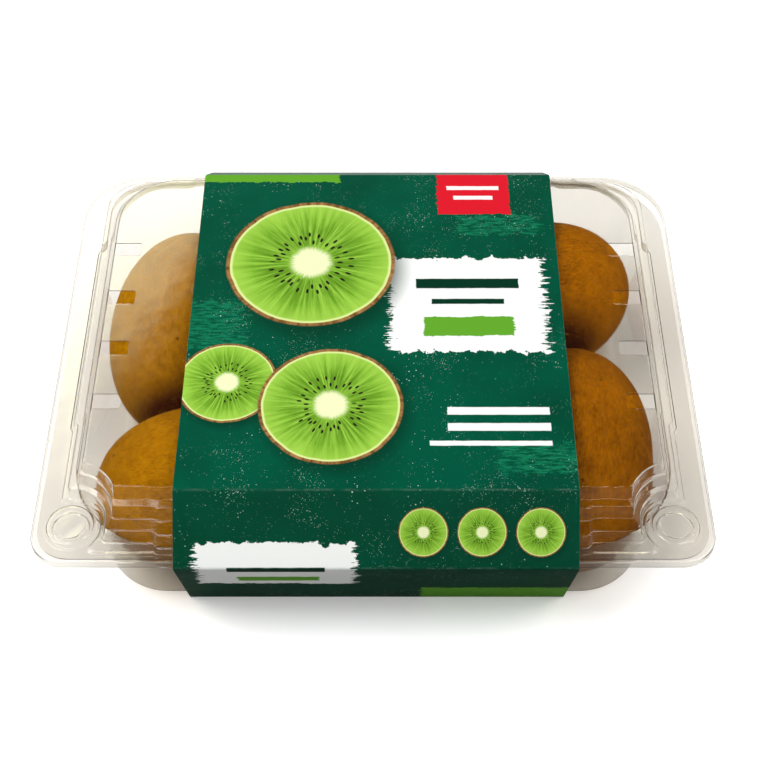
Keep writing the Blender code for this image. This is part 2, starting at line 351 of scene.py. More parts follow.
def stretched(tree: bpy.types.NodeTree, place: Field, scale: tuple[float, float, float]) -> Field:
    """A place with each of its axes multiplied by its own factor.

    Args:
        tree: Tree that gets the mapping node.
        place: The place.
        scale: Factors along X, Y and Z.

    Returns:
        The new place.
    """
    node = tree.nodes.new("ShaderNodeMapping")
    node.inputs["Scale"].default_value = scale
    tree.links.new(place.socket, node.inputs["Vector"])
    return Field(tree, node.outputs["Vector"])


def blend(tree: bpy.types.NodeTree, under: "Field | Colour", over: "Field | Colour",
          mask: "Field | float") -> Field:
    """One colour laid on another.

    Args:
        tree: Tree that gets the mix node.
        under: The colour where the mask is 0.
        over: The colour where the mask is 1.
        mask: The mask.

    Returns:
        The mixed colour.
    """
    node = tree.nodes.new("ShaderNodeMix")
    node.data_type = "RGBA"
    connect(tree, mask, node.inputs["Factor"])
    connect(tree, under, node.inputs[6])
    connect(tree, over, node.inputs[7])
    return Field(tree, node.outputs[2])


def joined(tree: bpy.types.NodeTree, x: "Field | float", y: "Field | float",
           z: "Field | float" = 0.0) -> Field:
    """Vector of three values.

    Args:
        tree: Tree that gets the combining node.
        x: First value.
        y: Second value.
        z: Third value.

    Returns:
        The vector.
    """
    node = tree.nodes.new("ShaderNodeCombineXYZ")
    for value, socket in zip((x, y, z), node.inputs):
        connect(tree, value, socket)
    return Field(tree, node.outputs[0])


def bumped(tree: bpy.types.NodeTree, height: Field, distance: float) -> Field:
    """Normal of a surface that a height field raises.

    Args:
        tree: Tree that gets the bump node.
        height: Height field between 0 and 1.
        distance: How far 1 raises the surface, in metres.

    Returns:
        The normal.
    """
    node = tree.nodes.new("ShaderNodeBump")
    node.inputs["Strength"].default_value = 1.0
    node.inputs["Distance"].default_value = distance
    tree.links.new(height.socket, node.inputs["Height"])
    return Field(tree, node.outputs["Normal"])


def coordinates(tree: bpy.types.NodeTree) -> Field:
    """Object coordinates, in metres, of the piece that has the material."""
    return Field(tree, tree.nodes.new("ShaderNodeTexCoord").outputs["Object"])


def new_material(name: str) -> tuple[bpy.types.Material, bpy.types.NodeTree, bpy.types.Node]:
    """Start a material.

    Args:
        name: Its name.

    Returns:
        The material, its tree and its Principled shader.
    """
    material = bpy.data.materials.new(name)
    material.use_nodes = True
    tree = material.node_tree
    return material, tree, tree.nodes["Principled BSDF"]


class Group:
    """A shader node group with named inputs and outputs."""

    def __init__(self, name: str, inputs: dict[str, float], outputs: dict[str, str]) -> None:
        """Make the group's tree and its sockets.

        Args:
            name: Name of the group.
            inputs: Names of its number inputs with their usual values.
            outputs: Names of its outputs with "NodeSocketFloat" or "NodeSocketColor".
        """
        self.tree = bpy.data.node_groups.new(name, "ShaderNodeTree")
        for key, value in inputs.items():
            made = self.tree.interface.new_socket(name=key, in_out="INPUT", socket_type="NodeSocketFloat")
            made.default_value = value
        for key, kind in outputs.items():
            self.tree.interface.new_socket(name=key, in_out="OUTPUT", socket_type=kind)
        self._inside = self.tree.nodes.new("NodeGroupInput")
        self._outside = self.tree.nodes.new("NodeGroupOutput")

    def given(self, key: str) -> Field:
        """One of the group's inputs, seen from inside it."""
        return Field(self.tree, self._inside.outputs[key])

    def give(self, key: str, value: "Field | float") -> None:
        """Set one of the group's outputs from inside it."""
        connect(self.tree, value, self._outside.inputs[key])

    def place(self, tree: bpy.types.NodeTree, **values: "Field | float") -> dict[str, Field]:
        """Use the group in a tree.

        Args:
            tree: Tree that gets the group node.
            values: Values of its inputs, with their names' spaces as underscores.

        Returns:
            The node's outputs by name.
        """
        node = tree.nodes.new("ShaderNodeGroup")
        node.node_tree = self.tree
        for key, value in values.items():
            connect(tree, value, node.inputs[key.replace("_", " ")])
        return {socket.name: Field(tree, socket) for socket in node.outputs}


@dataclass(frozen=True)
class ClearSheet:
    """Clear formed plastic sheet, glossy and very faintly uneven."""

    tint: Colour = (0.87, 0.85, 0.81)
    film: Colour = (0.95, 0.935, 0.905)
    roughness: float = 0.06
    ior: float = 1.45
    gloss: float = 0.3
    wave_scale: float = 60.0
    wave_depth: float = 0.06 * MM

    def build(self) -> bpy.types.Material:
        """Make the material: refracting for the eye, plain see-through for shadows.

        Returns:
            The material.
        """
        material, tree, shader = new_material("clear_sheet")
        shader.inputs["Base Color"].default_value = (*self.tint, 1.0)
        shader.inputs["Roughness"].default_value = self.roughness
        shader.inputs["IOR"].default_value = self.ior
        shader.inputs["Specular IOR Level"].default_value = self.gloss
        shader.inputs["Transmission Weight"].default_value = 1.0
        waves = noise(tree, coordinates(tree), self.wave_scale, detail=2.0)
        connect(tree, bumped(tree, waves, self.wave_depth), shader.inputs["Normal"])
        passing = tree.nodes.new("ShaderNodeBsdfTransparent")
        passing.inputs["Color"].default_value = (*self.film, 1.0)
        path = tree.nodes.new("ShaderNodeLightPath")
        shadow, soft = (Field(tree, path.outputs[f"Is {kind} Ray"]) for kind in ("Shadow", "Diffuse"))
        either = tree.nodes.new("ShaderNodeMixShader")
        connect(tree, shadow.math("MAXIMUM", soft), either.inputs["Fac"])
        tree.links.new(shader.outputs["BSDF"], either.inputs[1])
        tree.links.new(passing.outputs["BSDF"], either.inputs[2])
        tree.links.new(either.outputs["Shader"], tree.nodes["Material Output"].inputs["Surface"])
        return material


@dataclass(frozen=True)
class SkinPattern:
    """Pattern of the fruit's skin, on its own coordinates in millimetres with the long axis Y."""

    broad_scale: float = 0.05
    middle_scale: float = 0.30
    fibre_stretch: tuple[float, float, float] = (2.2, 0.5, 2.2)
    fine_scale: float = 2.4
    # Shares of the broad, middle, fibre and fine noise in the tone, and what they lose together
    tone_shares: tuple[float, float, float, float] = (0.8, 0.9, 2.0, 0.8)
    tone_loss: float = 1.75
    tone_soft: float = 0.8
    spot_pitch: float = 5.0
    spot_radius: float = 0.11
    grain_strength: float = 0.6
    # Painted contact shade where the fruits meet: how far the fibres break it up, where it begins and how
    # softly
    contact_shade_break: float = 0.9
    contact_shade_edge: float = 0.45
    contact_shade_soft: float = 0.6

    def build(self) -> Group:
        """Build the group, whose outputs are Tone, Specks, a painted contact shade and Relief.

        Tone mixes broad and middle mottling with fibres along Y.  Specks are fine grain
        where the mottling is dark, and rare round spots in cells of the pitch.  The contact
        shade output is painted shade: the mesh's own closeness to its neighbours, broken up
        by the fibres, which darkens the skin where the fruits meet.

        Returns:
            The group.
        """
        number = "NodeSocketFloat"
        outputs = {key: number for key in ("Tone", "Specks", "ContactShade", "Relief")}
        group = Group("skin_pattern", {}, outputs)
        tree = group.tree
        own, near = (tree.nodes.new("ShaderNodeAttribute") for _ in range(2))
        own.attribute_name, near.attribute_name = "own_place", "closeness"
        place, closeness = Field(tree, own.outputs["Vector"]), Field(tree, near.outputs["Fac"])
        broad = noise(tree, place, self.broad_scale, detail=3.0)
        middle = noise(tree, place, self.middle_scale, detail=4.0, rough=0.65)
        fibres = noise(tree, stretched(tree, place, self.fibre_stretch), 1.0, detail=3.0, rough=0.7)
        fine = noise(tree, place, self.fine_scale, detail=2.0, rough=0.7)
        of_broad, of_middle, of_fibres, of_fine = self.tone_shares
        tone = broad * of_broad + middle * of_middle + fibres * of_fibres + fine * of_fine - self.tone_loss
        group.give("Tone", tone.above(0.5, self.tone_soft))
        cells = tree.nodes.new("ShaderNodeTexVoronoi")
        cells.inputs["Scale"].default_value = 1.0 / self.spot_pitch
        tree.links.new(place.socket, cells.inputs["Vector"])
        spots = Field(tree, cells.outputs["Distance"]).below(self.spot_radius, 0.05) * middle.above(0.5, 0.05)
        grain = fine.above(0.60, 0.08) * middle.below(0.5, 0.2) * self.grain_strength
        group.give("Specks", spots.math("MAXIMUM", grain))
        # Painted shade: darker where the mesh lies close to the other fruits
        contact_shade = closeness + (fibres - 0.5) * self.contact_shade_break * closeness
        group.give("ContactShade", contact_shade.above(self.contact_shade_edge, self.contact_shade_soft))
        group.give("Relief", fibres * 0.6 + fine * 0.4 + middle * 0.5)
        return group


@dataclass(frozen=True)
class FruitSkin:
    """Brown kiwifruit skin: golden to dark mottling, dark specks, fine fibres and painted contact shade."""

    name: str
    light: Colour = (0.39, 0.132, 0.0004)
    dark: Colour = (0.16, 0.048, 0.0002)
    speck: Colour = (0.07, 0.018, 0.001)
    # Painted shade where the fruit meets its neighbours
    contact_shade: Colour = (0.055, 0.009, 0.0008)
    speck_strength: float = 0.8
    relief: float = 0.5 * MM
    roughness: float = 0.65
    sheen: float = 0.02

    def build(self, pattern: Group) -> bpy.types.Material:
        """Make the material.

        Args:
            pattern: The skins' shared pattern.

        Returns:
            The material, in this skin's colours.
        """
        material, tree, shader = new_material(self.name)
        given = pattern.place(tree)
        colour = blend(tree, self.dark, self.light, given["Tone"])
        colour = blend(tree, colour, self.speck, given["Specks"] * self.speck_strength)
        # The painted contact shade darkens the colour where the fruits meet
        connect(tree, blend(tree, colour, self.contact_shade, given["ContactShade"]), shader.inputs["Base Color"])
        connect(tree, bumped(tree, given["Relief"], self.relief), shader.inputs["Normal"])
        shader.inputs["Roughness"].default_value = self.roughness
        shader.inputs["Specular IOR Level"].default_value = self.sheen
        return material


@dataclass(frozen=True)
class FineHair:
    """Short stiff golden hairs of the skin."""

    colour: Colour = (0.52, 0.225, 0.002)
    darkest: float = 0.45
    shade_scale: float = 900.0
    roughness: float = 0.6
    sheen: float = 0.03

    def build(self) -> bpy.types.Material:
        """Make the material, lighter and darker from hair to hair.

        Returns:
            The material.
        """
        material, tree, shader = new_material("fine_hair")
        shade = noise(tree, coordinates(tree), self.shade_scale, detail=0.0)
        darker = tuple(self.darkest * part for part in self.colour)
        connect(tree, blend(tree, darker, self.colour, shade.above(0.5, 0.3)), shader.inputs["Base Color"])
        shader.inputs["Roughness"].default_value = self.roughness
        shader.inputs["Specular IOR Level"].default_value = self.sheen
        return material


@dataclass(frozen=True)
class PlainCard:
    """Uncoated inside and cut edges of the card, pale with faint fibres."""

    colour: Colour = (0.62, 0.59, 0.53)
    darkest: float = 0.86
    fibre_stretch: tuple[float, float, float] = (1.0, 3.0, 3.0)
    fibre_scale: float = 900.0
    fibre_depth: float = 0.03 * MM
    roughness: float = 0.85

    def build(self) -> bpy.types.Material:
        """Make the material from noise that is drawn out along X.

        Returns:
            The material.
        """
        material, tree, shader = new_material("plain_card")
        place = stretched(tree, coordinates(tree), self.fibre_stretch)
        fibre = noise(tree, place, self.fibre_scale, detail=3.0)
        darker = tuple(self.darkest * part for part in self.colour)
        connect(tree, blend(tree, darker, self.colour, fibre.above(0.5, 0.5)), shader.inputs["Base Color"])
        connect(tree, bumped(tree, fibre, self.fibre_depth), shader.inputs["Normal"])
        shader.inputs["Roughness"].default_value = self.roughness
        return material


@dataclass
class Clamshell:
    """Tray, fold and lid: one formed sheet of clear plastic.

    Sizes are those of the middle of the sheet.  The right half is worked out and
    mirrored.  A share of 0 is the foot of the lid's wall and 1 is its top.
    """

    sheet: float = 0.26
    half_width: float = 91.675
    front: float = 73.075
    back: float = 72.675
    flange: float = 36.6
    gap: float = 1.0
    front_radius: float = 9.0
    back_radius: float = 19.0
    lip_drop: float = 2.4
    lip_flare: float = 0.1
    lip_bend: float = 1.3
    hinge_half: float = 64.0

    lid_rise: float = 12.5
    foot: tuple = (83.0, 67.2, 67.0, 13.0, 9.3)
    top: tuple = (77.7, 57.6, 58.4, 18.0, 13.4)
    steps: tuple = ((0.34, 0.09), (0.36, 0.52), (0.66, 0.64), (0.69, 0.87), (1.0, 1.0))
    # Radii of the bends between the band, the steps and the top, and the length of a share of 1
    wall_bends: tuple = (0.5, 0.9, 0.9, 0.8, 0.7, 0.7, 0.9)
    share_length: float = 9.6
    band_rise: float = 0.5
    band_share: float = -0.30
    band_foot: float = -0.36
    band_loss: float = 1.4
    top_share: float = 1.12
    # Sag of the lid's top, and the height of its waves with their lengths over 2 pi along X and Y
    lid_sag: float = 0.22
    wave_height: float = 0.08
    wave_reach: tuple = (9.0, 12.0)
    fillet: float = 1.5
    lug_half: float = 57.8
    lug_depth: float = 1.8
    side_lug: tuple = (-29.0, 38.0)
    side_lug_depth: float = 1.3
    lug_slope: float = 2.0

    button: tuple = (81.1, -62.6)
    button_profile: tuple = ((6.9, 0.0), (6.2, 1.8), (4.4, 1.8), (3.9, 1.3), (0.0, 1.3))
    stud_profile: tuple = ((5.5, 0.0), (4.9, 1.2), (0.0, 1.2))

    vents: int = 4
    vent_x: tuple = (69.6, 80.5)
    vent_length: float = 5.2
    vent_bend: float = 0.9
    vent_pitch: float = 19.2
    vent_middle: float = -0.3
    vent_heights: tuple = (46.6, 52.0)

    tray_inset: float = 1.4
    tray_back_radius: float = 25.0
    tray_half: tuple = (82.6, 67.4)
    tray_floor: float = 0.95
    tray_start: float = -1.5
    # How far in from the rim the wall meets the floor and its last outline lies, and the two bends
    tray_foot: tuple = (5.65, 12.0)
    tray_bends: tuple = (1.2, 4.2)
    # The tray's front and back move in by this much more than its sides
    tray_taper: float = 1.04
    # Corner radii of the tray's wall at some distances in from its rim
    tray_depths: tuple = (-3.0, 0.0, 5.0, 9.0, 12.0)
    tray_front_radii: tuple = (34.0, 28.0, 19.0, 15.0, 12.0)
    tray_back_radii: tuple = (15.0, 15.0, 13.0, 9.0, 6.0)

    flange_rows: int = 5
    # Columns of the lid's outline before its round bite, in the bite, round the back and along the hinge
    front_columns: int = 23
    corner_columns: int = 30
    back_columns_count: int = 14
    hinge_columns_count: int = 17
    rim_corner_counts: tuple = (6, 12, 9)
    # Columns of the tray's outline: front, three parts of the front corner, side and back corner
    tray_front_columns: int = 12
    tray_corner_columns: tuple = (4, 16, 3)
    # Angles in degrees at which those three parts begin and end
    tray_corner_turns: tuple = (-90.0, -71.0, -11.0, 0.0)
    tray_side_columns: int = 12
    tray_back_columns: int = 10
    tray_rim_counts: tuple = (6, 8, 7)

    def lid_outline(self, share: Array) -> Array:
        """Right half of the lid wall's outline, from the middle of the front to that of the back.

        Straight edges carry a proud middle stretch with eased ends, deepest at the
        wall's foot and shallower both up the wall and out over the band.  The front
        corner is an arc bitten out round the button's centre, joined to both edges
        by small round fillets whose centres lie one fillet radius inside the edge
        and bite radius + fillet radius from the button.  The back corner is an arc.

        Args:
            share: Shares of the way from the wall's foot to its top.

        Returns:
            Points as shares x columns x 2.
        """
        s = np.asarray(share, float)[:, None]
        side, front, back, corner, bite = (mix(at_foot, at_top, s)
                                           for at_foot, at_top in zip(self.foot, self.top))
        proud = np.maximum(np.minimum(1.0 - s, 1.0 + self.band_loss * s), 0.0)
        bx, by = self.button
        f = self.fillet
        lug_in, lug_out = self.lug_half - 0.5 * self.lug_slope, self.lug_half + 0.5 * self.lug_slope
        c1y, c2x = f - front, side - f
        c1x = bx - np.sqrt((bite + f) ** 2 - (c1y - by) ** 2)
        c2y = by + np.sqrt((bite + f) ** 2 - (c2x - bx) ** 2)
        low, high = self.side_lug
        room = np.minimum(side - lug_out, back - high - self.lug_slope) - 1.0
        corner = np.minimum(corner, room)
        foot_side, foot_corner = (mix(self.foot[i], self.top[i], self.band_foot) for i in (0, 3))
        hinge_share = (self.hinge_half - lug_out) / (foot_side - foot_corner - lug_out)
        hinge = mix(lug_out, side - corner, hinge_share)
        first = np.arctan2(by - c1y, bx - c1x)
        bite_from = np.mod(np.arctan2(c1y - by, c1x - bx), 2.0 * math.pi)
        bite_to = np.arctan2(c2y - by, c2x - bx)
        a1 = mix(-0.5 * math.pi, first, run(6))
        a2 = mix(bite_from, bite_to, run(24))
        a3 = mix(bite_to - math.pi, 0.0, run(6))
        a4 = mix(0.0, 0.5 * math.pi, run(12))
        lug, side_lug = self.lug_depth * proud, self.side_lug_depth * proud
        edges = [
            (mix(0.0, lug_in, run(10)), -(front + lug)),
            (mix(lug_in, lug_out, run(6)), -(front + lug * (1.0 - ease(run(6))))),
            (mix(lug_out, c1x, run(4)), -front),
            (c1x + f * np.cos(a1), c1y + f * np.sin(a1)),
            (bx + bite * np.cos(a2), by + bite * np.sin(a2)),
            (c2x + f * np.cos(a3), c2y + f * np.sin(a3)),
            (side, mix(c2y, low - self.lug_slope, run(6))),
            (side + side_lug * ease(run(5)), mix(low - self.lug_slope, low, run(5))),
            (side + side_lug, mix(low, high, run(12))),
            (side + side_lug * (1.0 - ease(run(5))), mix(high, high + self.lug_slope, run(5))),
            (side, mix(high + self.lug_slope, back - corner, run(4))),
            (side - corner + corner * np.cos(a4), back - corner + corner * np.sin(a4)),
            (mix(side - corner, hinge, run(3)), back),
            (mix(hinge, lug_out, run(2)), back),
            (mix(lug_out, lug_in, run(6)), back + lug * ease(run(6))),
            (mix(lug_in, 0.0, run(8)), back + lug),
            (0.0, back + lug),
        ]
        return np.concatenate([flat_points(x, y) for x, y in edges], axis=1)

    def hinge_columns(self) -> Array:
        """Places in X, from the hinge's end to the middle, where lid and tray share their columns."""
        return self.lid_outline(np.array([self.band_foot]))[0, -self.hinge_columns_count:, 0]

    def rim(self, inset: float) -> tuple[Array, Array, Array]:
        """Right half of the lid flange's outer edge, moved in by an inset.

        Its columns face those of the lid's outline at the foot of its raised band.

        Args:
            inset: How far in from the outer edge.

        Returns:
            The front stretch, the front corner, and the side with the back.
        """
        foot = self.lid_outline(np.array([self.band_foot]))[0]
        start, end = self.front_columns, self.front_columns + self.corner_columns
        x_edge, y_front, y_back = self.half_width - inset, inset - self.front, self.back - inset
        front = flat_points(foot[:start + 1, 0], y_front)
        corner = rim_corner(foot[start, 0], foot[end, 1], (x_edge, y_front), self.front_radius - inset,
                            self.rim_corner_counts)
        back_radius = self.back_radius - inset
        side = foot[end:-self.hinge_columns_count - self.back_columns_count]
        share = (side[:, 1] - side[0, 1]) / (side[-1, 1] - side[0, 1])
        side = flat_points(x_edge, mix(foot[end, 1], y_back - back_radius, share))
        angle = mix(0.0, 0.5 * math.pi, run(12)[0])[1:]
        bend = flat_points(x_edge + back_radius * (np.cos(angle) - 1.0),
                           y_back + back_radius * (np.sin(angle) - 1.0))
        straight = flat_points(mix(x_edge - back_radius, self.hinge_half, run(3)[0]), y_back)
        middle = flat_points(foot[-self.hinge_columns_count:, 0], y_back)
        return front, corner, np.concatenate((side, bend, straight, middle))

    def lid_wall(self) -> Array:
        """Lid from its raised band on the flange up its stepped wall to the edge of its top.

        A path of share of the way and height, with rounded bends, carries the outline.

        Returns:
            Points as rows x columns x 3.
        """
        corners = [(self.band_foot, 0.0), (self.band_share, self.band_rise), (0.0, self.band_rise)]
        corners += [(way, rise * self.lid_rise) for rise, way in self.steps]
        corners += [(self.top_share, self.lid_rise)]
        path = np.array(corners) * (self.share_length, 1.0)
        path = eased_path(path, np.array(self.wall_bends), steps=6)
        outlines = self.lid_outline(path[:, 0] / self.share_length)
        return lifted(outlines, self.flange + path[:, 1, None, None])

    def lid_top(self) -> Array:
        """Lid's top, as outlines that shrink to its middle, with a very slight sag and waves.

        Inside its edge the height falls by the sag and takes up the waves, a sine along X
        times a cosine along Y.

        Returns:
            Points as rows x columns x 3.
        """
        outline = self.lid_outline(np.array([self.top_share]))[0]
        shares = np.linspace(0.0, 1.0, 22) ** 1.2
        flat = rings_towards(outline, np.array([0.0, 0.0]), shares)
        inner = ease(shares * 2.5 - 0.4)[:, None]
        reach_x, reach_y = self.wave_reach
        waves = self.wave_height * np.sin(flat[..., 0] / reach_x + 0.6) * np.cos(flat[..., 1] / reach_y - 0.4)
        height = self.flange + self.lid_rise + inner * waves - self.lid_sag * inner
        return lifted(flat, height[..., None])

    def around_boss(self, boundary: Array, height: float, profile: tuple) -> Array:
        """Flange inside a closed boundary, and the round boss that rises in its middle.

        Each boundary point runs straight to its own point on the boss's foot, and the
        same columns follow the boss's rounded profile to its centre.  The points' angles
        round the centre are evened out so that they only ever grow: the mean of the
        largest before and the smallest after, with a small even share added.

        Args:
            boundary: Closed outline round the boss, one point a row, none repeated.
            height: Height of the flange.
            profile: Radius and rise of the boss's corners, ending at radius 0.

        Returns:
            Points as rows x columns x 3.
        """
        centre = np.array(self.button)
        farthest = np.argmax(np.linalg.norm(boundary - centre, axis=1))
        boundary = np.roll(boundary, -farthest, axis=0)
        boundary = np.concatenate((boundary, boundary[:1]))
        out = boundary - centre
        angle = np.unwrap(np.arctan2(out[:, 1], out[:, 0]))
        sense = np.sign(angle[-1] - angle[0])
        grown = sense * angle
        grown = 0.5 * (np.maximum.accumulate(grown) + np.minimum.accumulate(grown[::-1])[::-1])
        grown = sense * mix(grown, np.linspace(grown[0], grown[-1], len(grown)), 0.03)
        unit = np.stack((np.cos(grown), np.sin(grown)), axis=-1)
        path = eased_path(np.array([(profile[0][0] + 0.5, 0.0), *profile]), 0.45, steps=4)
        share = np.linspace(0.0, 1.0, 6)[:-1, None, None]
        flat = mix(boundary[None], centre + path[0, 0] * unit[None], share)
        boss = centre + path[:, 0, None, None] * unit[None]
        return np.concatenate((lifted(flat, height), lifted(boss, height + path[:, 1, None, None])), axis=0)

    def flange_face(self, patches: Patchwork, foot: Array, corner_at: tuple[int, int],
                    rim: tuple[Array, Array, Array], height: float, profile: tuple) -> None:
        """Flat flange between a wall and its rim, with a round boss in the front corner.

        Args:
            patches: Gets the flange.
            foot: The wall's outline where it meets the flange.
            corner_at: Columns of that outline at which the front corner begins and ends.
            rim: The rim's front stretch, its front corner, and its side with the back.
            height: Height of the flange.
            profile: Radius and rise of the boss's corners.
        """
        start, end = corner_at
        front, corner, rest = rim
        share = np.linspace(0.0, 1.0, self.flange_rows)[:, None, None]
        for inner, outer in ((foot[:start + 1], front), (foot[end:], rest)):
            patches.add(lifted(mix(inner[None], outer[None], share), height))
        cut_out = mix(foot[end], corner[-1], share[:, 0])
        cut_back = mix(corner[0], foot[start], share[:, 0])
        boundary = np.concatenate((foot[start:end], cut_out[:-1], corner[::-1][:-1], cut_back[:-1]))
        patches.add(self.around_boss(boundary, height, profile))

    def lid(self, patches: Patchwork) -> None:
        """Lid, its flange with the snap buttons, the turned-down lip and the fold.

        Args:
            patches: Gets them.
        """
        patches.add(self.lid_wall())
        patches.add(self.lid_top())
        start, end = self.front_columns, self.front_columns + self.corner_columns
        foot = self.lid_outline(np.array([self.band_foot]))[0]
        rim = self.rim(self.lip_bend)
        self.flange_face(patches, foot, (start, end), rim, self.flange, self.button_profile)
        hinge = len(rim[2]) - self.hinge_columns_count
        corners = np.array([(self.lip_bend, 0.0), (0.0, 0.0), (-self.lip_flare, -self.lip_drop)])
        bend = eased_path(corners, 1.0, steps=6)
        rims = [self.rim(inset) for inset in bend[:, 0]]
        rows = [np.concatenate((front, corner[1:], rest[1:hinge + 1])) for front, corner, rest in rims]
        patches.add(lifted(np.stack(rows), self.flange + bend[:, 1, None, None]))
        self.fold(patches, rim[2][hinge:, 0])

    def fold(self, patches: Patchwork, columns: Array) -> None:
        """Hinge: flat from the lid's flange to the back edge, then a half circle down to the tray's.

        Args:
            patches: Gets the hinge.
            columns: Its places in X.
        """
        radius = 0.5 * self.gap
        angle = np.linspace(0.0, math.pi, 9)
        y = np.concatenate(([self.back - self.lip_bend], self.back + radius * np.sin(angle)))
        z = np.concatenate(([self.flange], self.flange - radius + radius * np.cos(angle)))
        x = np.broadcast_to(columns[None, :, None], (len(y), len(columns), 1))
        rest = np.broadcast_to(np.stack((y, z), axis=-1)[:, None], (len(y), len(columns), 2))
        patches.add(np.concatenate((x, rest), axis=-1))

    def tray_outline(self, depth: Array) -> Array:
        """Right half of the tray's wall at some distances in from its rim: a rounded rectangle.

        Args:
            depth: Distances in from the rim, one a row.

        Returns:
            Points as depths x columns x 2.
        """
        d = np.asarray(depth, float)
        front_radius = np.interp(d, self.tray_depths, self.tray_front_radii)[:, None]
        back_radius = np.interp(d, self.tray_depths, self.tray_back_radii)[:, None]
        side, end = self.tray_half[0] - d[:, None], self.tray_half[1] - self.tray_taper * d[:, None]
        stops = self.tray_corner_turns
        turns = [mix(low, high, run(count))
                 for low, high, count in zip(stops, stops[1:], self.tray_corner_columns)]
        turns = np.radians(np.concatenate(turns, axis=1))
        back_turns = mix(0.0, 0.5 * math.pi, run(self.tray_back_columns))
        straight = self.tray_half[0] - self.tray_start - self.tray_back_radii[0]
        hinge_shares = 1.0 - self.hinge_columns() / straight
        back_shares = np.concatenate((mix(0.0, hinge_shares[0], run(2)), hinge_shares[None]), axis=1)
        edges = [
            (mix(0.0, side - front_radius, run(self.tray_front_columns)), -end),
            (side - front_radius + front_radius * np.cos(turns),
             front_radius - end + front_radius * np.sin(turns)),
            (side, mix(front_radius - end, end - back_radius, run(self.tray_side_columns))),
            (side - back_radius + back_radius * np.cos(back_turns),
             end - back_radius + back_radius * np.sin(back_turns)),
            (mix(side - back_radius, 0.0, back_shares), end),
        ]
        return np.concatenate([flat_points(x, y) for x, y in edges], axis=1)

    def tray_rim(self, foot: Array) -> tuple[Array, Array, Array]:
        """Right half of the tray flange's outer edge, a little inside the lid's except along the fold.

        Args:
            foot: The tray wall's outline, whose columns the edge's columns face.

        Returns:
            The front stretch, the front corner, and the side with the back.
        """
        start, end = self.tray_corner_at()
        x_edge, y_front, y_back = self.half_width - self.tray_inset, self.tray_inset - self.front, self.back
        front = flat_points(foot[:start + 1, 0], y_front)
        corner = rim_corner(foot[start, 0], foot[end, 1], (x_edge, y_front), self.front_radius,
                            self.tray_rim_counts)
        side = foot[end:end + self.tray_corner_columns[2] + self.tray_side_columns + 1]
        share = (side[:, 1] - side[0, 1]) / (side[-1, 1] - side[0, 1])
        radius = self.tray_back_radius
        side = flat_points(x_edge, mix(foot[end, 1], y_back - radius, share))
        turn = mix(0.0, 0.5 * math.pi, run(self.tray_back_columns)[0])[1:]
        bend = flat_points(x_edge + radius * (np.cos(turn) - 1.0),
                           y_back - self.tray_inset * ease(turn) + radius * (np.sin(turn) - 1.0))
        middle = foot[end + len(side) + len(bend):, 0]
        step = np.where(middle > self.hinge_half + 0.1, self.tray_inset, 0.0)
        return front, corner, np.concatenate((side, bend, flat_points(middle, y_back - step)))

    def tray_corner_at(self) -> tuple[int, int]:
        """Columns of the tray's outline between which its flange has the stud."""
        start = self.tray_front_columns + self.tray_corner_columns[0]
        return start, start + self.tray_corner_columns[1]

    def tray(self, patches: Patchwork) -> None:
        """Tray: wall, rounded foot, floor, and flange with its studs.

        Args:
            patches: Gets them.
        """
        height = self.flange - self.gap
        foot_in, last_in = self.tray_foot
        corners = np.array([(self.tray_start, height), (0.0, height),
                            (foot_in, self.tray_floor), (last_in, self.tray_floor)])
        path = eased_path(corners, np.array(self.tray_bends), steps=8)
        outlines = self.tray_outline(path[:, 0])
        patches.add(lifted(outlines, path[:, 1, None, None]))
        floor = rings_towards(outlines[-1], np.array([0.0, 0.0]), np.linspace(0.0, 1.0, 10))
        patches.add(lifted(floor, self.tray_floor))
        rim = self.tray_rim(outlines[0])
        self.flange_face(patches, outlines[0], self.tray_corner_at(), rim, height, self.stud_profile)

    def vent_cutter(self) -> bpy.types.Object:
        """Rounded blocks on both sides that cut the slots through the lid's upper side edges.

        Returns:
            All the blocks as one object.
        """
        patches = Patchwork()
        middle_x, half_x = 0.5 * sum(self.vent_x), 0.5 * (self.vent_x[1] - self.vent_x[0])
        half_y = 0.5 * self.vent_length
        corners = np.array([(-half_x, -half_y), (half_x, -half_y), (half_x, half_y), (-half_x, half_y)])
        outline = eased_path(corners, self.vent_bend, steps=4, closed=True)
        shrink = np.array([0.0, 1.0, 1.0, 0.0])[:, None, None]
        low, high = self.vent_heights
        block = lifted(outline[None] * shrink, np.array([low, low, high, high])[:, None, None])
        for row in range(self.vents):
            y = self.vent_middle + (row - 0.5 * (self.vents - 1)) * self.vent_pitch
            patches.add(block + (middle_x, y, 0.0), around=True)
        patches.mirror()
        return patches.to_object("vent_cutter", [])

    def build(self, finish: ClearSheet) -> bpy.types.Object:
        """Make the sheet, give it its thickness and cut its vents.

        Args:
            finish: Its finish.

        Returns:
            The clamshell.
        """
        patches = Patchwork()
        self.lid(patches)
        self.tray(patches)
        patches.mirror()
        shell = patches.to_object("clear_pack", [finish.build()])
        wall = shell.modifiers.new("Sheet", "SOLIDIFY")
        wall.thickness = self.sheet * MM
        wall.offset = 0.0
        cutter = self.vent_cutter()
        vents = shell.modifiers.new("Vents", "BOOLEAN")
        vents.operation = "DIFFERENCE"
        vents.solver = "MANIFOLD"
        vents.object = cutter
        bake_modifiers(shell)
        bpy.data.objects.remove(cutter, do_unlink=True)
        shell.data.set_sharp_from_angle(angle=SHARP_ANGLE)
        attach(shell, "root")
        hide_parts("clamshell")
        return shell


